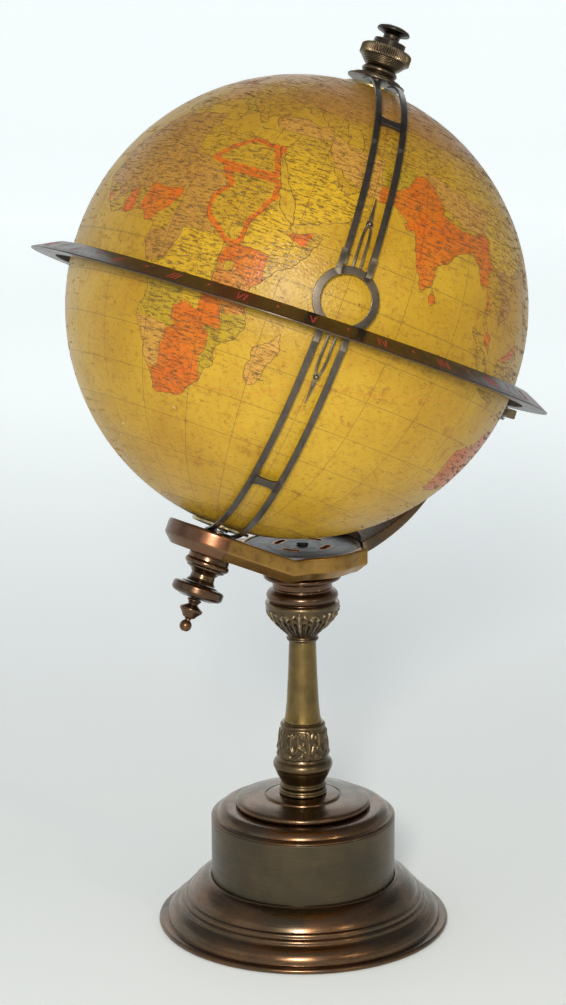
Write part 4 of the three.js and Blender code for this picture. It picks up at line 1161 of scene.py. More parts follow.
# =================================================================== the globe's map
# Outlines are (longitude, latitude) in degrees, as an atlas gives them.
LANDS = {
    "africa": [
        (-5.9, 35.8), (-2, 35.2), (1, 36.5), (5, 36.8), (10, 37.3), (11, 35.5), (10.2, 34), (11.5, 33),
        (15.2, 32.3), (15.8, 31.3), (19, 30.3), (20, 32), (22, 32.9), (25, 31.7), (29, 30.9), (31, 31.5),
        (32.5, 31.2), (32.6, 29.9), (33.8, 27.5), (35.5, 24), (37.2, 21), (37.3, 18.8), (39, 16),
        (39.8, 15), (41.5, 13.3), (43.1, 12.5), (43.2, 11.5), (44.5, 10.5), (47, 11.2), (51.2, 11.9),
        (50.8, 9.5), (49, 6), (47.5, 4), (45.5, 2.2), (43, -0.3), (41.5, -1.8), (40.1, -3.3), (39, -5),
        (39.5, -7), (39.5, -9.5), (40.5, -10.8), (40.8, -14), (39.5, -16.3), (37, -17.8), (35, -19.8),
        (35.5, -22.5), (35.4, -24), (33, -25.2), (32.8, -27.5), (31, -29.8), (29, -32), (27, -33.6),
        (25.5, -34), (22, -34.1), (20, -34.8), (18.4, -34.2), (18.2, -32), (17, -29.5), (15.5, -27),
        (14.5, -23), (13.5, -20.5), (11.8, -17), (13.5, -13), (13.8, -10.5), (12.8, -7.5), (12, -5),
        (10, -2.5), (9, -0.7), (9.5, 1), (9.8, 3.5), (8.5, 4.6), (6, 4.3), (4.5, 6.3), (1.5, 6.1),
        (-2, 4.8), (-4.5, 5.2), (-7.6, 4.4), (-9.5, 5.8), (-11.5, 6.9), (-13.2, 8.8), (-15, 11),
        (-16.8, 12.8), (-17.4, 14.7), (-16.3, 17), (-16.2, 19.5), (-17, 21), (-16, 23.7), (-14.8, 26),
        (-12.9, 27.9), (-10, 29.5), (-9.7, 31.5), (-8, 33.3), (-6.8, 34.2),
    ],
    "eurasia": [
        (32.5, 31.2), (34.3, 31.4), (35, 33), (36, 36), (34, 36.3), (32, 36.2), (30.5, 36.5), (28.2, 36.8),
        (27, 38), (26.3, 39.5), (29, 41), (31.5, 41.2), (35, 42), (38, 41), (41.5, 41.5), (39, 44),
        (37.5, 46.5), (39, 47.2), (35, 46.3), (36.5, 45.3), (34, 44.5), (33, 46), (31, 46.5), (29.7, 45.2),
        (28, 43), (28.5, 41.3), (26.2, 40.8), (23.8, 40.5), (23, 38.5), (24, 37.8), (22.5, 36.5), (21, 38),
        (19.5, 40.5), (19, 42), (16, 43.5), (14.5, 45.2), (12.5, 45.4), (13.5, 43.5), (16, 41.8),
        (18.4, 40), (16.8, 38.8), (15.7, 38), (14, 40.7), (12, 41.8), (10.2, 43.9), (7.5, 43.8), (4, 43.3),
        (3.2, 42), (0.5, 40.5), (-0.3, 38.8), (-2, 36.8), (-5.5, 36), (-8.8, 37), (-9.3, 38.8),
        (-8.8, 43.2), (-2, 43.4), (-1.2, 45.8), (-4.5, 47.9), (-1.6, 48.7), (0.3, 49.6), (3, 51.2),
        (4.8, 53), (8.5, 53.8), (8.2, 56.8), (10.5, 57.6), (10, 55), (12, 54.2), (14.5, 54), (18.5, 54.7),
        (21, 55.5), (21.5, 57.5), (24, 57.5), (24, 59.3), (28, 59.8), (25, 60.2), (22.5, 60), (21.3, 61.5),
        (25, 65), (23, 65.8), (21, 64), (17.3, 61.5), (18.5, 59.5), (16.5, 56.8), (14, 55.5), (12.5, 56.5),
        (10.7, 59.2), (8, 58.2), (5.3, 59.5), (5, 62), (10, 64), (14, 68), (19, 69.9), (25.5, 71),
        (31, 70.2), (40, 67), (34, 66.8), (38, 64), (41, 66), (46, 68.3), (54, 68.5), (60, 69), (68, 68.5),
        (67, 72), (72, 73), (73.5, 68.5), (75, 72.5), (81, 73.5), (88, 75), (104, 77.7), (113, 74),
        (130, 71), (140, 72.7), (152, 71), (161, 69.5), (171, 70), (180, 69), (180, 65), (177.5, 64.7),
        (179, 62.5), (170, 60), (163.5, 58.5), (162, 56), (156.8, 51.2), (155.7, 56.5), (159, 61),
        (150, 59.5), (142, 59), (135.5, 54.7), (141, 53), (140.4, 48), (135.5, 43.8), (130.6, 42.5),
        (127.6, 39.8), (129.4, 36.8), (129, 35.2), (126.5, 34.5), (126.5, 37.5), (124.8, 39.8),
        (121.3, 38.9), (121.5, 40.8), (118, 39), (119, 37.3), (122.3, 37.3), (119.3, 35), (121.8, 31.8),
        (121.8, 29), (118.5, 24.7), (114, 22.4), (110.4, 21.2), (108, 21.6), (105.8, 19), (108.8, 15.5),
        (109.3, 12), (106.7, 10.4), (104.8, 8.7), (105, 10.5), (102.5, 12), (100.9, 13.4), (100, 11.5),
        (99.3, 9.3), (100.4, 7.2), (102.9, 5.5), (103.5, 2.6), (104.2, 1.3), (101.5, 3), (100.3, 5.8),
        (98.3, 8.2), (98.6, 12), (97.7, 16.2), (95.3, 15.8), (94.3, 18.5), (92, 21.5), (91, 22.5),
        (88.5, 21.7), (87, 20.8), (85, 19.5), (82.3, 16.6), (80.2, 15.5), (80.2, 13), (79.8, 10.3),
        (78, 8.9), (77.5, 8.1), (76.3, 9.9), (74.8, 13), (73.3, 17), (72.8, 20.5), (72.2, 21.3),
        (70.5, 20.8), (69, 22.3), (70.2, 23), (67.3, 24.2), (66.5, 25.3), (61.5, 25.1), (57.3, 25.8),
        (56.5, 27), (54, 26.6), (51.3, 27.9), (50, 30.2), (48, 30), (48.5, 28.3), (50.2, 26.5),
        (50.8, 24.8), (51.5, 25.8), (51.6, 24.3), (54, 24.2), (56.3, 26), (57, 24), (59.8, 22.5),
        (57.7, 20.2), (57.7, 19), (55, 17), (52, 15.6), (48.5, 14), (45, 12.8), (43.5, 12.7), (42.8, 15),
        (42.5, 16.8), (40.8, 19.5), (39, 21.5), (38.3, 24), (36.5, 26), (35, 28), (34.8, 29.5),
        (34.2, 27.8), (32.6, 29.9),
    ],
    "madagascar": [
        (49.3, -12), (50.4, -15.5), (49.5, -17.5), (48, -22), (47, -25), (45.2, -25.6), (43.7, -23.5),
        (43.5, -21.5), (44.4, -19.8), (44, -17), (45.5, -15.8), (47.5, -14.8), (48.3, -13.4),
    ],
    "ceylon": [(79.8, 8), (80, 9.7), (81.2, 8.5), (81.8, 7), (80.6, 6), (79.9, 7)],
    "great_britain": [
        (-5.5, 50.1), (-3.5, 50.3), (1.2, 51), (1.7, 52.7), (0, 53.5), (-1.5, 55), (-2.2, 56.5), (-2, 57.6),
        (-4, 57.7), (-3.2, 58.6), (-5, 58.5), (-6.2, 56.8), (-5, 55), (-3.2, 54.8), (-3, 53.4),
        (-4.5, 53.2), (-4.6, 52.2), (-5, 51.7), (-3, 51.4),
    ],
    "ireland": [(-6, 52.2), (-9.8, 51.6), (-9.5, 53.5), (-8.3, 54.9), (-6.2, 55.2), (-5.6, 54.3)],
    "iceland": [(-22, 64), (-18.7, 63.4), (-14.5, 64.5), (-15, 66.2), (-22, 66.3), (-24, 65.5)],
    "spitsbergen": [(11, 79), (17, 76.7), (24, 78), (27, 80), (16, 80)],
    "novaya_zemlya": [(52, 71), (57, 70.7), (60, 74), (69, 76.8), (60, 76), (54, 73.5)],
    "crete": [(23.6, 35.4), (26.2, 35.1), (24.5, 34.9)],
    "cyprus": [(32.3, 35), (34.5, 35.6), (33.6, 34.6)],
    "sicily": [(12.5, 38), (15.6, 38.2), (15.1, 36.7)],
    "sardinia": [(8.2, 41), (9.7, 41), (9.5, 39.1), (8.5, 39)],
    "japan": [
        (130.5, 31.2), (131.8, 33.5), (135.5, 33.6), (139.8, 35), (141, 37), (142, 39.6), (141.2, 41.3),
        (145.3, 43.3), (142, 45.4), (140, 43), (140, 40.5), (137, 37), (133, 35.5), (130.9, 34),
        (129.8, 32.8),
    ],
    "sakhalin": [(142, 46), (143.5, 49), (143, 54), (142, 53), (142, 48)],
    "formosa": [(120.9, 22), (121.9, 25.2), (120.3, 24), (120.1, 23)],
    "hainan": [(108.7, 19), (110, 18.3), (111, 19.8), (109.5, 20)],
    "philippines": [
        (120.6, 18.5), (122.3, 18.3), (121.6, 15), (124, 13), (125.5, 11), (126.4, 7.5), (125.4, 5.8),
        (122, 7), (123, 9.2), (121, 13.5), (119.8, 15.8),
    ],
    "borneo": [
        (109, 1.5), (111.4, 2.5), (113, 3.3), (116.7, 7), (119, 5), (117.8, 2), (118.8, 1), (116.3, -3.5),
        (114.5, -4), (110.2, -2.8), (109, 0),
    ],
    "sumatra": [
        (95.3, 5.6), (98, 4.4), (100.8, 2), (103.5, 0), (106, -3), (105.8, -5.8), (102.3, -4), (100.3, -1),
        (98.6, 1.8),
    ],
    "java": [
        (105.2, -6.7), (108.5, -6.7), (112.5, -6.8), (114.4, -7.8), (114.3, -8.7), (110, -8.1),
        (106.5, -7.4),
    ],
    "celebes": [
        (119.5, 0.8), (121, 1.2), (124.8, 1.5), (124.2, 0.4), (120.3, 0.3), (121, -1), (123.2, -1),
        (121.6, -2), (122.5, -4.7), (121.4, -4.6), (120.4, -2.9), (120.3, -5.5), (119.5, -5.3), (119, -2.8),
    ],
    "timor": [(123.6, -10.3), (127, -8.5), (125.5, -8.6), (124, -9.4)],
    "new_guinea": [
        (131, -0.8), (134, -0.8), (135, -3.3), (138, -1.7), (141, -2.6), (145.8, -4.8), (147.8, -6.7),
        (150.8, -10.3), (147, -9.5), (144.5, -7.7), (142.5, -9.2), (138.8, -8.2), (138, -5.5), (133, -4),
        (132, -2.8),
    ],
    "australia": [
        (113.5, -22), (114, -26.5), (115.7, -31.8), (115, -34.2), (118, -35), (123.5, -33.9), (126, -32.3),
        (131, -31.5), (134, -32.8), (137.7, -35.2), (140, -37.8), (143.5, -38.8), (146.3, -39),
        (150, -37.4), (151.3, -33.5), (153.6, -28.5), (152.8, -25), (149.5, -22), (146, -19), (145.3, -15),
        (143.5, -14), (142.5, -10.8), (141.6, -14), (140.8, -17.5), (139, -17.3), (135.5, -15),
        (136.9, -12.2), (132.5, -11.5), (130, -14.5), (128, -14.9), (125.5, -14), (122.3, -17.5),
        (121, -19.5), (116.8, -20.6),
    ],
    "tasmania": [(144.7, -40.8), (148.3, -41), (147.5, -43.5), (145.7, -43)],
    "north_zealand": [
        (172.7, -34.5), (175.5, -36.8), (178.4, -37.8), (176.8, -40), (175.2, -41.6), (173.8, -39.3),
        (174.7, -37.5),
    ],
    "south_zealand": [
        (172.7, -40.6), (174.3, -41.7), (172.7, -43.8), (170.6, -45.9), (168.5, -46.6), (166.5, -45.9),
        (170, -43),
    ],
    "new_caledonia": [(164, -20), (167, -22.3), (165.5, -21.8)],
    "north_america": [
        (-168, 65.6), (-166.5, 68.3), (-156.5, 71.3), (-141, 69.7), (-128, 70), (-115, 68.3), (-108, 68),
        (-96, 68), (-94, 71.8), (-86, 69.5), (-81.5, 67.5), (-87, 65.5), (-94, 61), (-94.7, 58.8),
        (-88, 56.8), (-82.3, 55.2), (-80, 51.3), (-79, 54.5), (-77, 57), (-78, 60), (-77.5, 62.5),
        (-70, 61), (-65, 59), (-61.5, 56), (-56, 52.5), (-60, 50.2), (-66.5, 50.2), (-70.5, 47),
        (-65, 48.8), (-64.5, 46.3), (-61, 45.6), (-66, 43.6), (-67, 44.8), (-70.5, 43.3), (-70.8, 41.8),
        (-74, 40.6), (-75.5, 38), (-76, 35.2), (-81, 31.8), (-80.2, 26.8), (-80.7, 25.2), (-82.7, 28),
        (-84, 30), (-89.5, 30.2), (-91, 29.3), (-94.5, 29.4), (-97.4, 27), (-97.7, 22.5), (-95.9, 18.8),
        (-92, 18.6), (-90.4, 21.1), (-87, 21.4), (-88, 18), (-88.7, 15.8), (-83.3, 15), (-83.7, 11),
        (-81.5, 8.9), (-79.5, 9.5), (-77.3, 8.5), (-80.2, 7.3), (-83.5, 8.5), (-86, 11), (-88, 13),
        (-94, 16.1), (-99.5, 16.7), (-105.5, 20), (-105.8, 22.5), (-109.4, 26), (-112.5, 30),
        (-114.7, 31.6), (-112.7, 28), (-110, 23.2), (-112, 25.5), (-115, 28), (-117.2, 32.6),
        (-120.6, 34.6), (-123.8, 39.2), (-124.3, 43), (-123.8, 46.5), (-124.6, 48.4), (-122.5, 48.5),
        (-127.5, 51), (-130.5, 54.5), (-134, 58), (-139.5, 59.6), (-146, 60.8), (-151.5, 59.3),
        (-154, 58.5), (-158, 56.5), (-164, 54.7), (-158.5, 58.3), (-162, 59), (-165.5, 61.5), (-161, 64.3),
        (-166, 64.5),
    ],
    "greenland": [
        (-45, 60), (-41, 63.5), (-33, 68), (-22, 70.3), (-20, 75), (-18, 80), (-32, 83.4), (-60, 82),
        (-68, 78.5), (-60, 76), (-54.5, 72), (-51, 69.5), (-53.5, 66.5), (-50, 62.2),
    ],
    "baffin_land": [
        (-65, 62), (-66, 66.5), (-68, 70), (-80, 73.5), (-88, 73), (-82, 70), (-74, 66.5), (-72, 64),
    ],
    "victoria_land": [(-117, 72), (-105, 73), (-101, 69.2), (-116, 69)],
    "ellesmere": [(-76, 78.5), (-65, 82.5), (-90, 81.5), (-88, 77)],
    "newfoundland": [(-59, 47.6), (-53, 46.8), (-53.5, 48.8), (-55.8, 51.5)],
    "cuba": [(-84.8, 21.9), (-82, 23.1), (-77, 21.7), (-74.2, 20.2), (-77.5, 19.9), (-81, 22.1)],
    "hispaniola": [(-74.3, 18.5), (-72.8, 19.9), (-69, 19), (-68.5, 18.3), (-71.5, 17.8)],
    "south_america": [
        (-77.3, 8.5), (-75.5, 10.8), (-71.7, 12.3), (-71.3, 11), (-68, 11.5), (-64, 10.4), (-61.8, 10.7),
        (-60, 8.5), (-57, 6), (-52, 4.6), (-50, 0.8), (-47.5, -0.8), (-44, -2.6), (-40, -2.9), (-37, -5),
        (-34.9, -7), (-35.3, -9.5), (-38.5, -13), (-39.2, -17.7), (-41, -22), (-44.5, -23.2), (-48.5, -26),
        (-49, -28.8), (-53, -33.5), (-56, -34.8), (-58.3, -34), (-57, -36.8), (-62, -39), (-63.8, -42.3),
        (-65.5, -45), (-67.5, -46.5), (-65.9, -48), (-69, -51), (-68.4, -52.5), (-66, -54.8), (-71, -54.6),
        (-74.5, -51.5), (-75.5, -47), (-73.5, -42), (-73.5, -37.5), (-71.5, -32), (-70.3, -24),
        (-70.3, -18.4), (-76, -14), (-79, -8), (-81.3, -5), (-79.9, -2.3), (-80, 0.7), (-77.5, 4),
        (-77.5, 7),
    ],
    "antarctica": [
        (-180, -78.5), (-150, -76.5), (-120, -74), (-100, -73), (-75, -72.5), (-66, -67), (-58, -63.3),
        (-60, -68), (-63, -74), (-40, -78), (-25, -74), (-10, -71), (10, -70), (30, -69.5), (50, -66.5),
        (70, -69.5), (78, -69), (95, -66.5), (115, -66.7), (140, -66.5), (165, -71), (165, -77.5),
        (180, -78.5), (180, -90), (-180, -90),
    ],
}
LAKES = {
    "caspian": [
        (47, 45), (51, 46.7), (53, 45.2), (51, 44.3), (53, 42), (53.8, 39), (53.8, 37), (50, 37.4),
        (49, 38.5), (49.5, 40.5), (47.5, 43),
    ],
    "aral": [(58.5, 44), (60, 46.5), (61.5, 45.5), (60.5, 43.8)],
    "victoria": [(31.8, -2.5), (31.8, 0), (34, 0.3), (34, -1.5), (33, -2.4)],
    "tanganyika": [(29.3, -3.4), (29.8, -3.6), (31.1, -8.5), (30.4, -8.2)],
    "nyasa": [(34, -9.6), (34.8, -11), (35.2, -14.2), (34.4, -13)],
    "baikal": [(104, 51.6), (107, 53), (109.8, 55.8), (108, 53), (105.5, 51.5)],
    "superior": [(-92, 46.8), (-88, 48.8), (-84.8, 47), (-87, 46.6)],
    "michigan": [(-87.6, 41.8), (-87.8, 44), (-85.5, 46), (-86.3, 43), (-86.8, 41.8)],
    "huron": [(-84, 46), (-81, 45.5), (-81.7, 43.3), (-83.3, 44)],
}
EGYPT = [(25.2, 31.8), (20, 28), (16, 23), (20, 22), (37.5, 22), (35, 25), (33.8, 28), (34.5, 30),
         (34, 31.6), (29, 31.2)]
SUDAN = [(20, 22), (22.6, 19.5), (25, 17.6), (22, 14), (22.4, 10.3), (23.4, 8.2), (26.7, 6.2), (30, 3.6),
         (34, 4), (34, 8), (34.3, 10.5), (36, 13), (36.5, 15.5), (38.6, 18), (37.5, 22)]
REGIONS = {
    "tan": [
        [(-18, 37), (-18, 12), (-12, 12), (-8, 10), (-8, 7.5), (-3, 10), (0, 11), (3.6, 12), (4, 13.8),
         (9, 13), (13.5, 13.9), (15, 13), (15, 9), (14, 3), (9, 2), (8, -1), (12, -4.8), (16, -3), (18, 1),
         (18.5, 4.5), (27, 5), (23, 9), (22, 14), (24.5, 17.5), (22, 19.5), (16, 23), (11, 24), (9.5, 30),
         (11.5, 33), (11, 38), (-2, 36.2)],
        [(100, 22.5), (108.5, 22), (110, 14), (106, 8), (104.5, 10.5), (106, 15)],
        [(20, 60), (31, 71), (60, 70), (110, 79), (180, 72), (180, 60), (135, 42), (120, 50), (90, 50),
         (60, 52), (50, 46), (40, 47), (24, 48), (22, 54)],
        [(-180, 63), (-180, 72), (-141, 71), (-141, 60), (-131, 55), (-165, 54)],
        [(-70, -55), (-73, -50), (-70, -30), (-66, -22), (-62, -22), (-57.5, -27), (-58, -34), (-60, -40),
         (-64, -55)],
    ],
    "buff": [
        [(11, -17.3), (21, -18), (21, -22), (20, -22), (20, -28.4), (16.5, -28.7), (13.5, -27)],
        [(42, -11), (42, -27), (52, -27), (52, -11)],
        [(44.5, 39.5), (48.5, 38.3), (54, 37.3), (61, 36.8), (61, 31), (63, 27.2), (61.5, 24.8), (56, 26.4),
         (50, 29.5), (48, 30.5), (46, 33.5), (45, 36)],
        [(-118, 33), (-106, 31.5), (-97, 26), (-88, 16), (-93, 14.5), (-117, 27)],
        [(26, 36), (27, 41.5), (41.5, 41.8), (44.5, 39.5), (44.5, 37), (36, 36)],
        [(-5, 43.5), (-2, 48.8), (2.5, 51.2), (8, 49), (7, 43.3), (3, 42.2)],
        [(73.5, 39), (80, 31.5), (88, 28), (97, 28.5), (100, 36), (88, 37)],
    ],
    "yellow": [
        [(11.5, -5.8), (12.6, -4.5), (16, -4), (18, 1), (18.5, 5), (27, 5), (30.6, 3.5), (29.5, -1),
         (29.3, -4.5), (30.6, -8.3), (28.5, -9), (28.6, -13), (24, -11), (22, -7.2), (17, -8)],
        [(34.5, 4.5), (33.2, 8), (36.3, 14.3), (40, 15), (43, 12), (43, 10.5), (48, 8), (45, 5), (41, 4)],
        [(34.5, 29.6), (39, 32), (45.5, 29.5), (48.6, 28.4), (57, 26.6), (61, 22), (52, 13), (43, 12),
         (38, 21)],
        [(-125, 49), (-95, 49), (-83, 46), (-75, 45), (-67, 47.5), (-67, 44), (-81, 24.5), (-97, 25.8),
         (-106, 31.5), (-117.5, 32.5)],
        [(74, 36.5), (88, 49), (97, 51.5), (120, 53.5), (135, 48), (131, 42.8), (123, 38), (123, 29),
         (108.5, 21.5), (100, 21.6), (97, 28.5), (88, 36.8)],
        [(11, 54), (14, 54.3), (24, 54), (17, 48.5), (9.5, 47), (6, 50)],
    ],
    "green": [
        [(11.5, -17.3), (12, -5.8), (16.5, -8), (22, -7.2), (24, -11), (22, -13), (22, -16.4),
         (23.4, -17.6)],
        [(41, -10.5), (35, -11.6), (34.8, -14), (35.6, -16), (33, -15.2), (30.5, -15.8), (32.7, -18),
         (32.6, -21), (31.4, -22.4), (32.1, -26.8), (34, -26.5), (42, -15)],
        [(-74, -3), (-70, 2), (-60, 5), (-51, 4), (-34, -6), (-38, -16), (-48, -27), (-57.5, -27),
         (-60, -16), (-69, -11)],
        [(61, 35.5), (66, 37.5), (71.5, 37), (69.5, 33), (66.3, 30), (61.5, 29.8)],
        [(12, 45.5), (18, 40), (15.5, 37), (12, 37.5), (7, 44), (12, 46.8)],
    ],
    "orange": [
        [(16.5, -28.7), (20, -28.4), (20, -22), (21, -22), (21, -18.3), (25.2, -17.8), (22, -16.2),
         (22, -13), (24, -12.8), (24, -11), (28.6, -13), (28.5, -9), (31, -8.3), (33, -9.4), (34.4, -11.5),
         (34.8, -14), (35.4, -16), (33, -15.2), (30.5, -15.8), (32.7, -17), (32.6, -21), (31.4, -22.4),
         (32.1, -26.8), (34, -28), (28, -36), (17, -36), (15, -30)],
        [(29.6, -1), (29.8, 1), (31, 3.7), (34, 4.2), (36, 4.4), (41, 3.9), (41, -0.8), (42, -1.7),
         (39.5, -4.9), (37.7, -3.1), (34, -1)],
        [(42.8, 12), (44, 9.2), (48, 8), (49, 12)],
        [(2.7, 6), (3.6, 11.7), (4, 13.7), (9, 12.8), (13.5, 13.7), (14.3, 12), (12, 8), (9.5, 6.5),
         (8.6, 4), (4, 3.8)],
        [(-3.2, 4.5), (-2.8, 11), (0, 11), (1.2, 6), (-1, 4)],
        [(-13.3, 9), (-11.5, 10), (-10.3, 8.2), (-11.5, 6.5)],
        [(61.5, 24.5), (61.2, 29.5), (66.3, 29.8), (69.5, 32.6), (70.8, 36), (74, 37.2), (77, 35.5),
         (79, 32.5), (81, 30.2), (80.3, 28.7), (84, 27.3), (88, 26.4), (88.4, 28), (89.2, 26.8), (92, 26.9),
         (94, 28.6), (97.5, 28.3), (98.6, 25.5), (97.6, 24), (99, 22), (101, 21.5), (98, 19.5),
         (97.6, 18.5), (98.9, 16), (99.5, 12), (98.8, 9.6), (96.5, 12), (93, 15), (92, 19), (90, 20),
         (82, 14), (80.6, 8), (76, 7), (70, 19), (66, 23)],
        [(79, 10.2), (82.5, 8.5), (82, 5.5), (79.2, 5.5)],
        [(99.9, 6.8), (102.2, 6.3), (104.8, 3), (104.8, 0.8), (100, 3)],
        [(109.4, 1.6), (112, 1.4), (115.5, 3.2), (118, 4.2), (119.6, 5.4), (116.5, 7.6), (108.8, 2.2)],
    ],
    "pink": [
        [(112, -36), (112, -20), (130, -10), (143, -9.5), (155, -24), (151, -45), (143, -45)],
        [(164, -33), (180, -33), (180, -48), (164, -48)],
        [(141, -2), (152, -9), (150, -12), (141, -9.5)],
        [(-141, 71), (-90, 74), (-60, 72), (-52, 46), (-67, 44.8), (-68, 47.5), (-75, 45), (-83, 46),
         (-95, 49), (-125, 48.5), (-131, 55), (-141, 60)],
        [(-10.5, 50), (2, 50.6), (2, 53), (-1, 59), (-10.5, 56)],
        [(-61.5, 8.6), (-57, 6.4), (-57.5, 2), (-61, 5)],
    ],
    "coral": [
        [(30.5, -1), (34, -1), (37.7, -3.1), (39.3, -4.7), (41, -7), (41, -10.5), (35, -11.5), (33, -9.4),
         (30.8, -8.3), (29.4, -5), (30.5, -3)],
    ],
}
RIVERS = [
    [(31, 30), (31.2, 26), (33, 24), (31, 20), (33.5, 18), (32.5, 15.6), (32.6, 10), (31, 7), (32, 3),
     (33, 0)],
    [(32.5, 15.6), (35, 12), (37.3, 12)],
    [(12.4, -6), (15.3, -4.3), (18, 0), (22, 2), (25.2, 0.5), (26, -5), (27, -11)],
    [(36.2, -18.8), (33, -16), (28.5, -16.5), (25.5, -17.8), (23, -14), (24, -11.5)],
    [(16.5, -28.6), (20, -28.8), (24, -29.5), (28, -30.2)],
    [(35.3, -25.2), (32, -22.3), (28.5, -22.6), (27, -24)],
    [(6, 4.4), (6.7, 8), (4.5, 12), (0.2, 16.3), (-4, 15), (-9, 11)],
    [(67.5, 24), (68.5, 28), (71.5, 32), (75, 35)],
    [(89, 22), (86, 25.3), (82, 25.4), (79, 28.5)],
    [(90.5, 23), (90, 26), (95, 28), (88, 29.3), (83, 30)],
    [(48.2, 30), (44, 33), (41, 35), (38.5, 37)],
    [(48.2, 30.6), (46, 33), (43.5, 36), (41, 38)],
    [(95.3, 16.5), (95, 20), (96, 23), (97.5, 26)],
    [(106.5, 10.3), (105, 14), (102, 18), (100.5, 22), (98, 28)],
    [(29, 45), (24, 43.8), (20.5, 45), (19, 47.5), (14, 48.3)],
    [(48, 46), (45, 49), (49.5, 53.5), (44, 56), (36, 57)],
    [(121.5, 31.5), (117, 31), (112, 30), (106, 29), (101, 26.5)],
    [(118.5, 37.8), (113, 35), (110.5, 39.5), (104, 36)],
    [(140.5, 53), (135, 48.5), (127, 50), (120, 53)],
    [(127, 72), (124, 65), (130, 62), (118, 60), (106, 54)],
    [(83, 70), (87, 65), (92, 58), (94, 52)],
    [(69, 66.5), (69, 61), (76, 59), (83, 54)],
    [(-50, -0.5), (-56, -2.3), (-63, -3.8), (-70, -3.9), (-75, -5)],
    [(-90, 29.4), (-91, 34), (-90, 39), (-93, 45)],
    [(-58.4, -34), (-60, -31), (-57, -26), (-51, -21)],
    [(-135, 69), (-129, 66), (-122, 61), (-113, 60)],
    [(139, -35.4), (142, -34), (147, -36)],
]
CABLE_ROUTE = [(31.2, -29.9), (36, -29.4), (41, -28.6), (47, -27.4), (53, -24.5), (57.5, -21), (63.5, -20),
               (72, -18.6), (84, -15.6), (96.8, -12.2)]
SEA_LANES = [
    [(18.2, -34.5), (8, -25), (-2, -12), (-12, 2), (-18, 14)],
    [(31, -30.5), (44, -32), (70, -36), (100, -37), (116, -35.5)],
    [(45, 12.3), (56, 12.5), (68, 16), (72.5, 18.8)],
    [(45, 12.3), (60, 10), (75, 7), (80, 5.5), (92, 5.6), (100, 3.5)],
    [(51.5, 12), (58, 2), (57.8, -20)],
    [(52, 12.2), (46, 1), (42, -9), (38, -22)],
]


def wandered(outline, reach, rounds, rng, closed=True):
    """The outline with its stretches halved again and again, each middle moved a little aside."""
    points = list(outline)
    for _ in range(rounds):
        longer = []
        for start, end in zip(points, points[1:] + (points[:1] if closed else [])):
            run, rise = end[0] - start[0], end[1] - start[1]
            size = math.hypot(run, rise)
            aside = rng.uniform(-1, 1) * min(reach, 0.16 * size)
            map_edge = abs(start[0]) > 179.9 or abs(end[0]) > 179.9 or min(start[1], end[1]) < -80
            aside = 0 if size < 1e-6 or map_edge else aside / size
            longer += [start, ((start[0] + end[0]) / 2 - rise * aside, (start[1] + end[1]) / 2 + run * aside)]
        points = longer if closed else longer + [points[-1]]
        reach *= 0.6
    return points


def depth_field(longitude, latitude, outline):
    """How far each place is inside the outline: 0.5 at its edge, 1 well inside and 0 well outside."""
    corners = np.array(outline, float)
    low, high = corners.min(0) - FIELD_REACH * 3, corners.max(0) + FIELD_REACH * 3
    near = np.flatnonzero((longitude > low[0] - 6) & (longitude < high[0] + 6)
                          & (latitude > low[1]) & (latitude < high[1]))
    result = np.zeros(len(longitude))
    starts, ends = corners, np.roll(corners, -1, 0)
    for block in np.array_split(near, max(1, len(near) * len(corners) // 2_000_000)):
        if not len(block):
            continue
        narrow = np.cos(np.radians(latitude[block]))[:, None]
        ax = (starts[None, :, 0] - longitude[block][:, None]) * narrow
        ay = starts[None, :, 1] - latitude[block][:, None]
        bx = (ends[None, :, 0] - longitude[block][:, None]) * narrow
        by = ends[None, :, 1] - latitude[block][:, None]
        dx, dy = bx - ax, by - ay
        along = np.clip(-(ax * dx + ay * dy) / np.maximum(dx * dx + dy * dy, 1e-12), 0, 1)
        away = np.sqrt(((ax + along * dx) ** 2 + (ay + along * dy) ** 2).min(1))
        crosses = (ay > 0) != (by > 0)
        where = ax - ay * dx / np.where(np.abs(dy) < 1e-12, 1e-12, dy)
        inside = (crosses & (where > 0)).sum(1) % 2 == 1
        result[block] = np.clip(0.5 + np.where(inside, away, -away) / (2 * FIELD_REACH), 0, 1)
    return result


def map_place(longitude, latitude, radius=GLOBE_RADIUS):
    """Points on the ball, in the pole's own directions."""
    bearing, turn = np.radians(longitude) + GREENWICH, np.radians(latitude)
    from_pole = radius * np.cos(turn)
    return np.stack([from_pole * np.cos(bearing), from_pole * np.sin(bearing), radius * np.sin(turn)], -1)


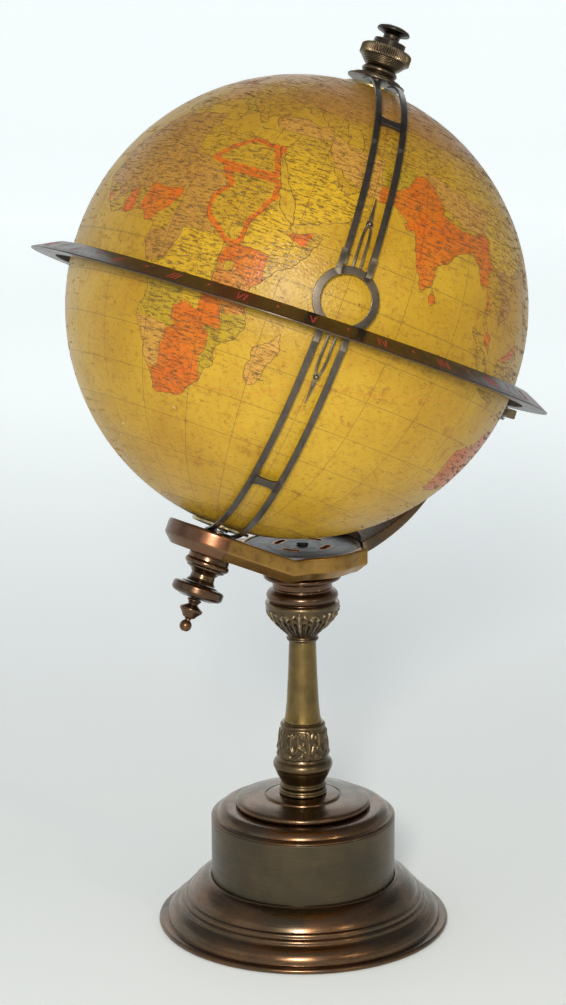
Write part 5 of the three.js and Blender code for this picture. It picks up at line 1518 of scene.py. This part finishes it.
def globe_ball(coasts, lakes):
    """The ball as one mesh with a point at every whole degree, which carries the tints as fields. It returns
    how far each of those points is inside land, row by row from the south."""
    rows, columns = 2 * LAST_ROW, 360
    latitudes = np.repeat(np.linspace(-LAST_ROW, LAST_ROW, rows + 1), columns)
    longitudes = np.tile(np.arange(columns) - 180.0, rows + 1)
    points = map_place(longitudes, latitudes)
    south, north = len(points), len(points) + 1
    points = np.vstack([points, [[0, 0, -GLOBE_RADIUS], [0, 0, GLOBE_RADIUS]]])
    faces = []
    for row in range(rows):
        for column in range(columns):
            after = (column + 1) % columns
            faces.append([row * columns + column, row * columns + after, (row + 1) * columns + after,
                          (row + 1) * columns + column])
    top = rows * columns
    for column in range(columns):
        after = (column + 1) % columns
        faces.append([south, after, column])
        faces.append([north, top + column, top + after])
    longitudes = np.append(longitudes, [0, 0])
    latitudes = np.append(latitudes, [-90, 90])
    ball = shell("globe_ball", points, faces, ON_POLE, globe_paper())

    def within(outlines):
        return np.max([depth_field(longitudes, latitudes, outline) for outline in outlines], axis=0)

    def store(name, values, kind="FLOAT", part="value"):
        attribute = ball.data.attributes.new(name, kind, "POINT")
        attribute.data.foreach_set(part, values.astype(np.float32).ravel())

    land = np.minimum(within(coasts), 1 - within(lakes))
    for tint, outlines in REGIONS.items():
        store(tint, np.minimum(within(outlines), land))
    store("outlined", np.minimum(within([EGYPT, SUDAN]), land))
    store("latitude", latitudes)
    store("land", land)
    east = np.stack([np.cos(np.radians(longitudes)), np.sin(np.radians(longitudes)), 0 * longitudes], -1)
    store("east", east, "FLOAT_VECTOR", "vector")
    settle(ball, "globe", ["globe_north_shell", "globe_south_shell"])
    return land[:-2].reshape(rows + 1, columns)


def part_way(start, end, part):
    """The place a part of the way from start to end."""
    return start[0] + (end[0] - start[0]) * part, start[1] + (end[1] - start[1]) * part


def ink_lines(name, routes, width, material):
    """Printed lines: each is a thin closed ridge that stands 0.05 mm above the paper."""
    points, faces = [], []
    for route in routes:
        fine = [route[0]]
        for start, end in zip(route, route[1:]):
            pieces = max(1, math.ceil(math.dist(start, end) / 3))
            fine += [part_way(start, end, i / pieces) for i in range(1, pieces + 1)]
        place = map_place(np.array([p[0] for p in fine]), np.array([p[1] for p in fine]), 1.0)
        heading = np.gradient(place, axis=0) if len(place) > 1 else place
        side = np.cross(heading, place)
        side /= np.maximum(np.linalg.norm(side, axis=1, keepdims=True), 1e-9)
        base = len(points)
        edge, crest = GLOBE_RADIUS - 0.06, GLOBE_RADIUS + 0.05
        for spot, aside in zip(place, side):
            points += [spot * edge - aside * width / 2, spot * crest, spot * edge + aside * width / 2]
        for i in range(len(place) - 1):
            a, b = base + 3 * i, base + 3 * i + 3
            faces += [[a, b, b + 1, a + 1], [a + 1, b + 1, b + 2, a + 2], [a + 2, b + 2, b, a]]
        last = base + 3 * (len(place) - 1)
        faces += [[base, base + 1, base + 2], [last + 2, last + 1, last]]
    return settle(shell(name, points, faces, ON_POLE, material), "globe")


def closed(outline):
    return outline + outline[:1]


def on_map(outline):
    """Splits a closed outline where it runs along the map's edge."""
    route, routes = [], []
    for point in closed(outline):
        if abs(point[0]) > 179.5 or point[1] < -80:
            if len(route) > 1:
                routes.append(route)
            route = []
        else:
            route.append(point)
    return routes + ([route] if len(route) > 1 else [])


def scribble(longitude, latitude, letters, rng, size):
    """A row of small strokes, as fine print looks from a step away."""
    narrow = max(0.3, math.cos(math.radians(latitude)))
    slope = rng.uniform(-0.12, 0.12)
    route, x = [], 0.0
    for i in range(letters):
        height = size * rng.choice((0.55, 0.6, 1.0)) * (1 if i % 2 else -0.1)
        route.append((longitude + x / narrow, latitude + height + slope * x))
        x += size * rng.uniform(0.35, 0.6)
        if rng.random() < 0.12:
            x += size * 0.4
    return route


def nearest_row(latitude):
    """The land grid's row nearest to a latitude."""
    return min(2 * LAST_ROW, max(0, round(latitude + LAST_ROW)))


def name_marks(land_grid, rng):
    """Place names as scribbles: dense on land, along the coasts and on islands, and sparse at sea."""
    land_count, sea_count, land_edge = 2600, 1100, 0.35
    land_names, sea_names = [], []
    while len(land_names) < land_count or len(sea_names) < sea_count:
        longitude = rng.uniform(-179, 176)
        latitude = math.degrees(math.asin(rng.uniform(-0.93, 0.98)))
        depth = land_grid[nearest_row(latitude), int(longitude + 180) % 360]
        size = rng.choice((0.42, 0.42, 0.55, 0.8))
        if depth > land_edge and len(land_names) < land_count:
            land_names.append(scribble(longitude, latitude, rng.randint(5, 14), rng, size))
        elif depth <= land_edge and len(sea_names) < sea_count:
            sea_names.append(scribble(longitude, latitude, rng.randint(5, 16), rng, size))
    ink_lines("map_land_names", land_names, 0.42, INK)
    ink_lines("map_sea_names", sea_names, 0.36, PALE_INK)


def dashes(route, length, pause):
    """Cuts a route into dashes, in degrees."""
    result = []
    for start, end in zip(route, route[1:]):
        count = max(1, int(math.dist(start, end) / (length + pause)))
        for i in range(count):
            ends = i / count, (i + length / (length + pause)) / count
            result.append([part_way(start, end, part) for part in ends])
    return result


def globe():
    rng = random.Random(1911)
    coasts = {name: wandered(outline, 0.7, 2, rng) for name, outline in LANDS.items()}
    lakes = {name: wandered(outline, 0.3, 1, rng) for name, outline in LAKES.items()}
    land_grid = globe_ball(list(coasts.values()), list(lakes.values()))
    shores = [route for outline in [*coasts.values(), *lakes.values()] for route in on_map(outline)]
    ink_lines("map_coasts", shores, 0.56, INK)
    borders, well_inland = [], 0.62
    for outline in [outline for outlines in REGIONS.values() for outline in outlines] + [EGYPT, SUDAN]:
        route = []
        for point in closed(wandered(outline, 0.4, 1, rng)):
            if land_grid[nearest_row(point[1]), round(point[0] + 180) % 360] > well_inland:
                route.append(point)
                continue
            if len(route) > 1:
                borders.append(route)
            route = []
        if len(route) > 1:
            borders.append(route)
    ink_lines("map_borders", borders, 0.36, INK)
    ink_lines("map_rivers", [wandered(river, 0.8, 2, rng, closed=False) for river in RIVERS], 0.26, INK)
    ink_lines("map_cable_route", [wandered(CABLE_ROUTE, 0.1, 1, rng, closed=False)], 0.5, RED_INK)
    lanes = [dash for lane in SEA_LANES for dash in dashes(lane, 0.8, 0.5)]
    ink_lines("map_sea_lanes", lanes, 0.16, PALE_INK)
    equator = [[(x, y), (x + 3, y)] for x in range(-180, 177, 4) for y in (-0.18, 0.18)]
    ink_lines("map_equator", equator, 0.2, PALE_INK)
    name_marks(land_grid, rng)
    polar_caps()
    for node in ("north_bush", "south_bush"):
        paint_node(node, STEEL)
    paint_node("inner_tube", CARD)


def polar_caps():
    """Brass caps bent to the ball, with a hole for the pole."""
    outer, inner, bore = GLOBE_RADIUS + 1.9, GLOBE_RADIUS + 0.3, 5.3
    for name, sign in (("north_cap", 1), ("south_cap", -1)):
        top = [math.degrees(math.acos(reach / outer)) for reach in (CAP_RADIUS, bore)]
        low = [math.degrees(math.acos(reach / inner)) for reach in (bore, CAP_RADIUS)]
        outline = arc((0, 0), inner, *low, 1) + arc((0, 0), outer, *top, 1)
        outline = [(x, sign * y) for x, y in outline]
        turned(name + "_fine", outline, "globe", PALE_BRASS, ON_POLE, 128, 0.25)


# =================================================================== room, lights and camera
def room_floor():
    """A pale floor that turns up far away into a bright backdrop all round, and glows as a light. Its lengths
    are in metres.
    """
    profile = [(0.3 * i, 0) for i in range(1, 15)] + [(4.5 + 0.4 * i, 0.11 * i * i) for i in range(7)]
    points, faces = lathe([(0, 0), *profile], 72)
    mesh = bpy.data.meshes.new("floor")
    mesh.from_pydata(points, [], [face[::-1] for face in faces])
    mesh.shade_smooth()
    floor = bpy.data.objects.new("floor", mesh)
    bpy.context.scene.collection.objects.link(floor)
    material, tree, shader, where = new_material("pale_floor")
    shade = mixed(tree, noise(tree, where, 2.0, 3), (0.78, 0.82, 0.82), (0.82, 0.86, 0.85))
    tree.links.new(shade, shader.inputs["Base Color"])
    shader.inputs["Roughness"].default_value = 0.9
    shader.inputs["Emission Color"].default_value = (0.94, 0.98, 0.98, 1)
    # The floor glows as a light: faint near the stand, brightest far behind it and dimmer far to the right.
    glow = spread(tree, reach_along(tree, where, (0.543, 0.840, 0)), -0.4, 2.0, 0.14, 0.56)
    dim = spread(tree, reach_along(tree, where, (0.840, -0.543, 0)), 1.4, 3.2, 1.0, 0.2)
    tree.links.new(maths(tree, "MULTIPLY", glow, dim), shader.inputs["Emission Strength"])
    mesh.materials.append(material)


def room_light():
    """Soft light from all round, brightest from the side of the key light."""
    world = bpy.data.worlds.new("room")
    world.use_nodes = True
    tree = world.node_tree
    way = tree.nodes.new("ShaderNodeTexCoord").outputs["Generated"]
    strength = spread(tree, reach_along(tree, way, (-0.80, -0.42, 0.42)), -0.8, 0.9, 0.10, 0.40)
    background = tree.nodes["Background"]
    background.inputs["Color"].default_value = (0.93, 0.96, 1.0, 1)
    tree.links.new(strength, background.inputs["Strength"])
    bpy.context.scene.world = world


def soft_light(name, place, target, size, watts, colour):
    light = bpy.data.lights.new(name, "AREA")
    light.shape = "DISK"
    light.size = size
    light.energy = watts
    light.color = colour
    lamp = bpy.data.objects.new(name, light)
    lamp.location = place
    lamp.rotation_mode = "QUATERNION"
    lamp.rotation_quaternion = (Vector(target) - Vector(place)).to_track_quat("-Z", "Y")
    bpy.context.scene.collection.objects.link(lamp)


def lights():
    middle = (0, 0, 0.3)
    soft_light("key", (-0.90, -1.16, 0.78), middle, 0.24, 17.5, (1.0, 0.96, 0.90))
    soft_light("warm_right", (0.22, -1.45, 0.80), middle, 0.07, 1.6, (1.0, 0.80, 0.50))
    soft_light("fill_left", (-1.9, 0.1, 1.0), middle, 1.0, 1.2, (0.92, 0.96, 1.0))
    soft_light("back", (1.2, 1.7, 1.3), middle, 1.2, 1.5, (0.95, 0.98, 1.0))


def camera():
    data = bpy.data.cameras.new("camera")
    data.lens = 84.46
    data.sensor_width = 36
    data.clip_end = 60
    eye = bpy.data.objects.new("camera", data)
    down, heading, roll = math.radians(77.53), math.radians(-32.87), math.radians(-0.272)
    turn = Matrix.Rotation(heading, 4, "Z") @ Matrix.Rotation(down, 4, "X") @ Matrix.Rotation(roll, 4, "Z")
    eye.matrix_world = Matrix.Translation((-0.7104, -1.0796, 0.5337)) @ turn
    bpy.context.scene.collection.objects.link(eye)
    bpy.context.scene.camera = eye


camera()
room_floor()
room_light()
lights()
stand()
head()
meridian()
nuts_and_knobs()
globe()
bpy.context.scene.view_settings.view_transform = "Standard"
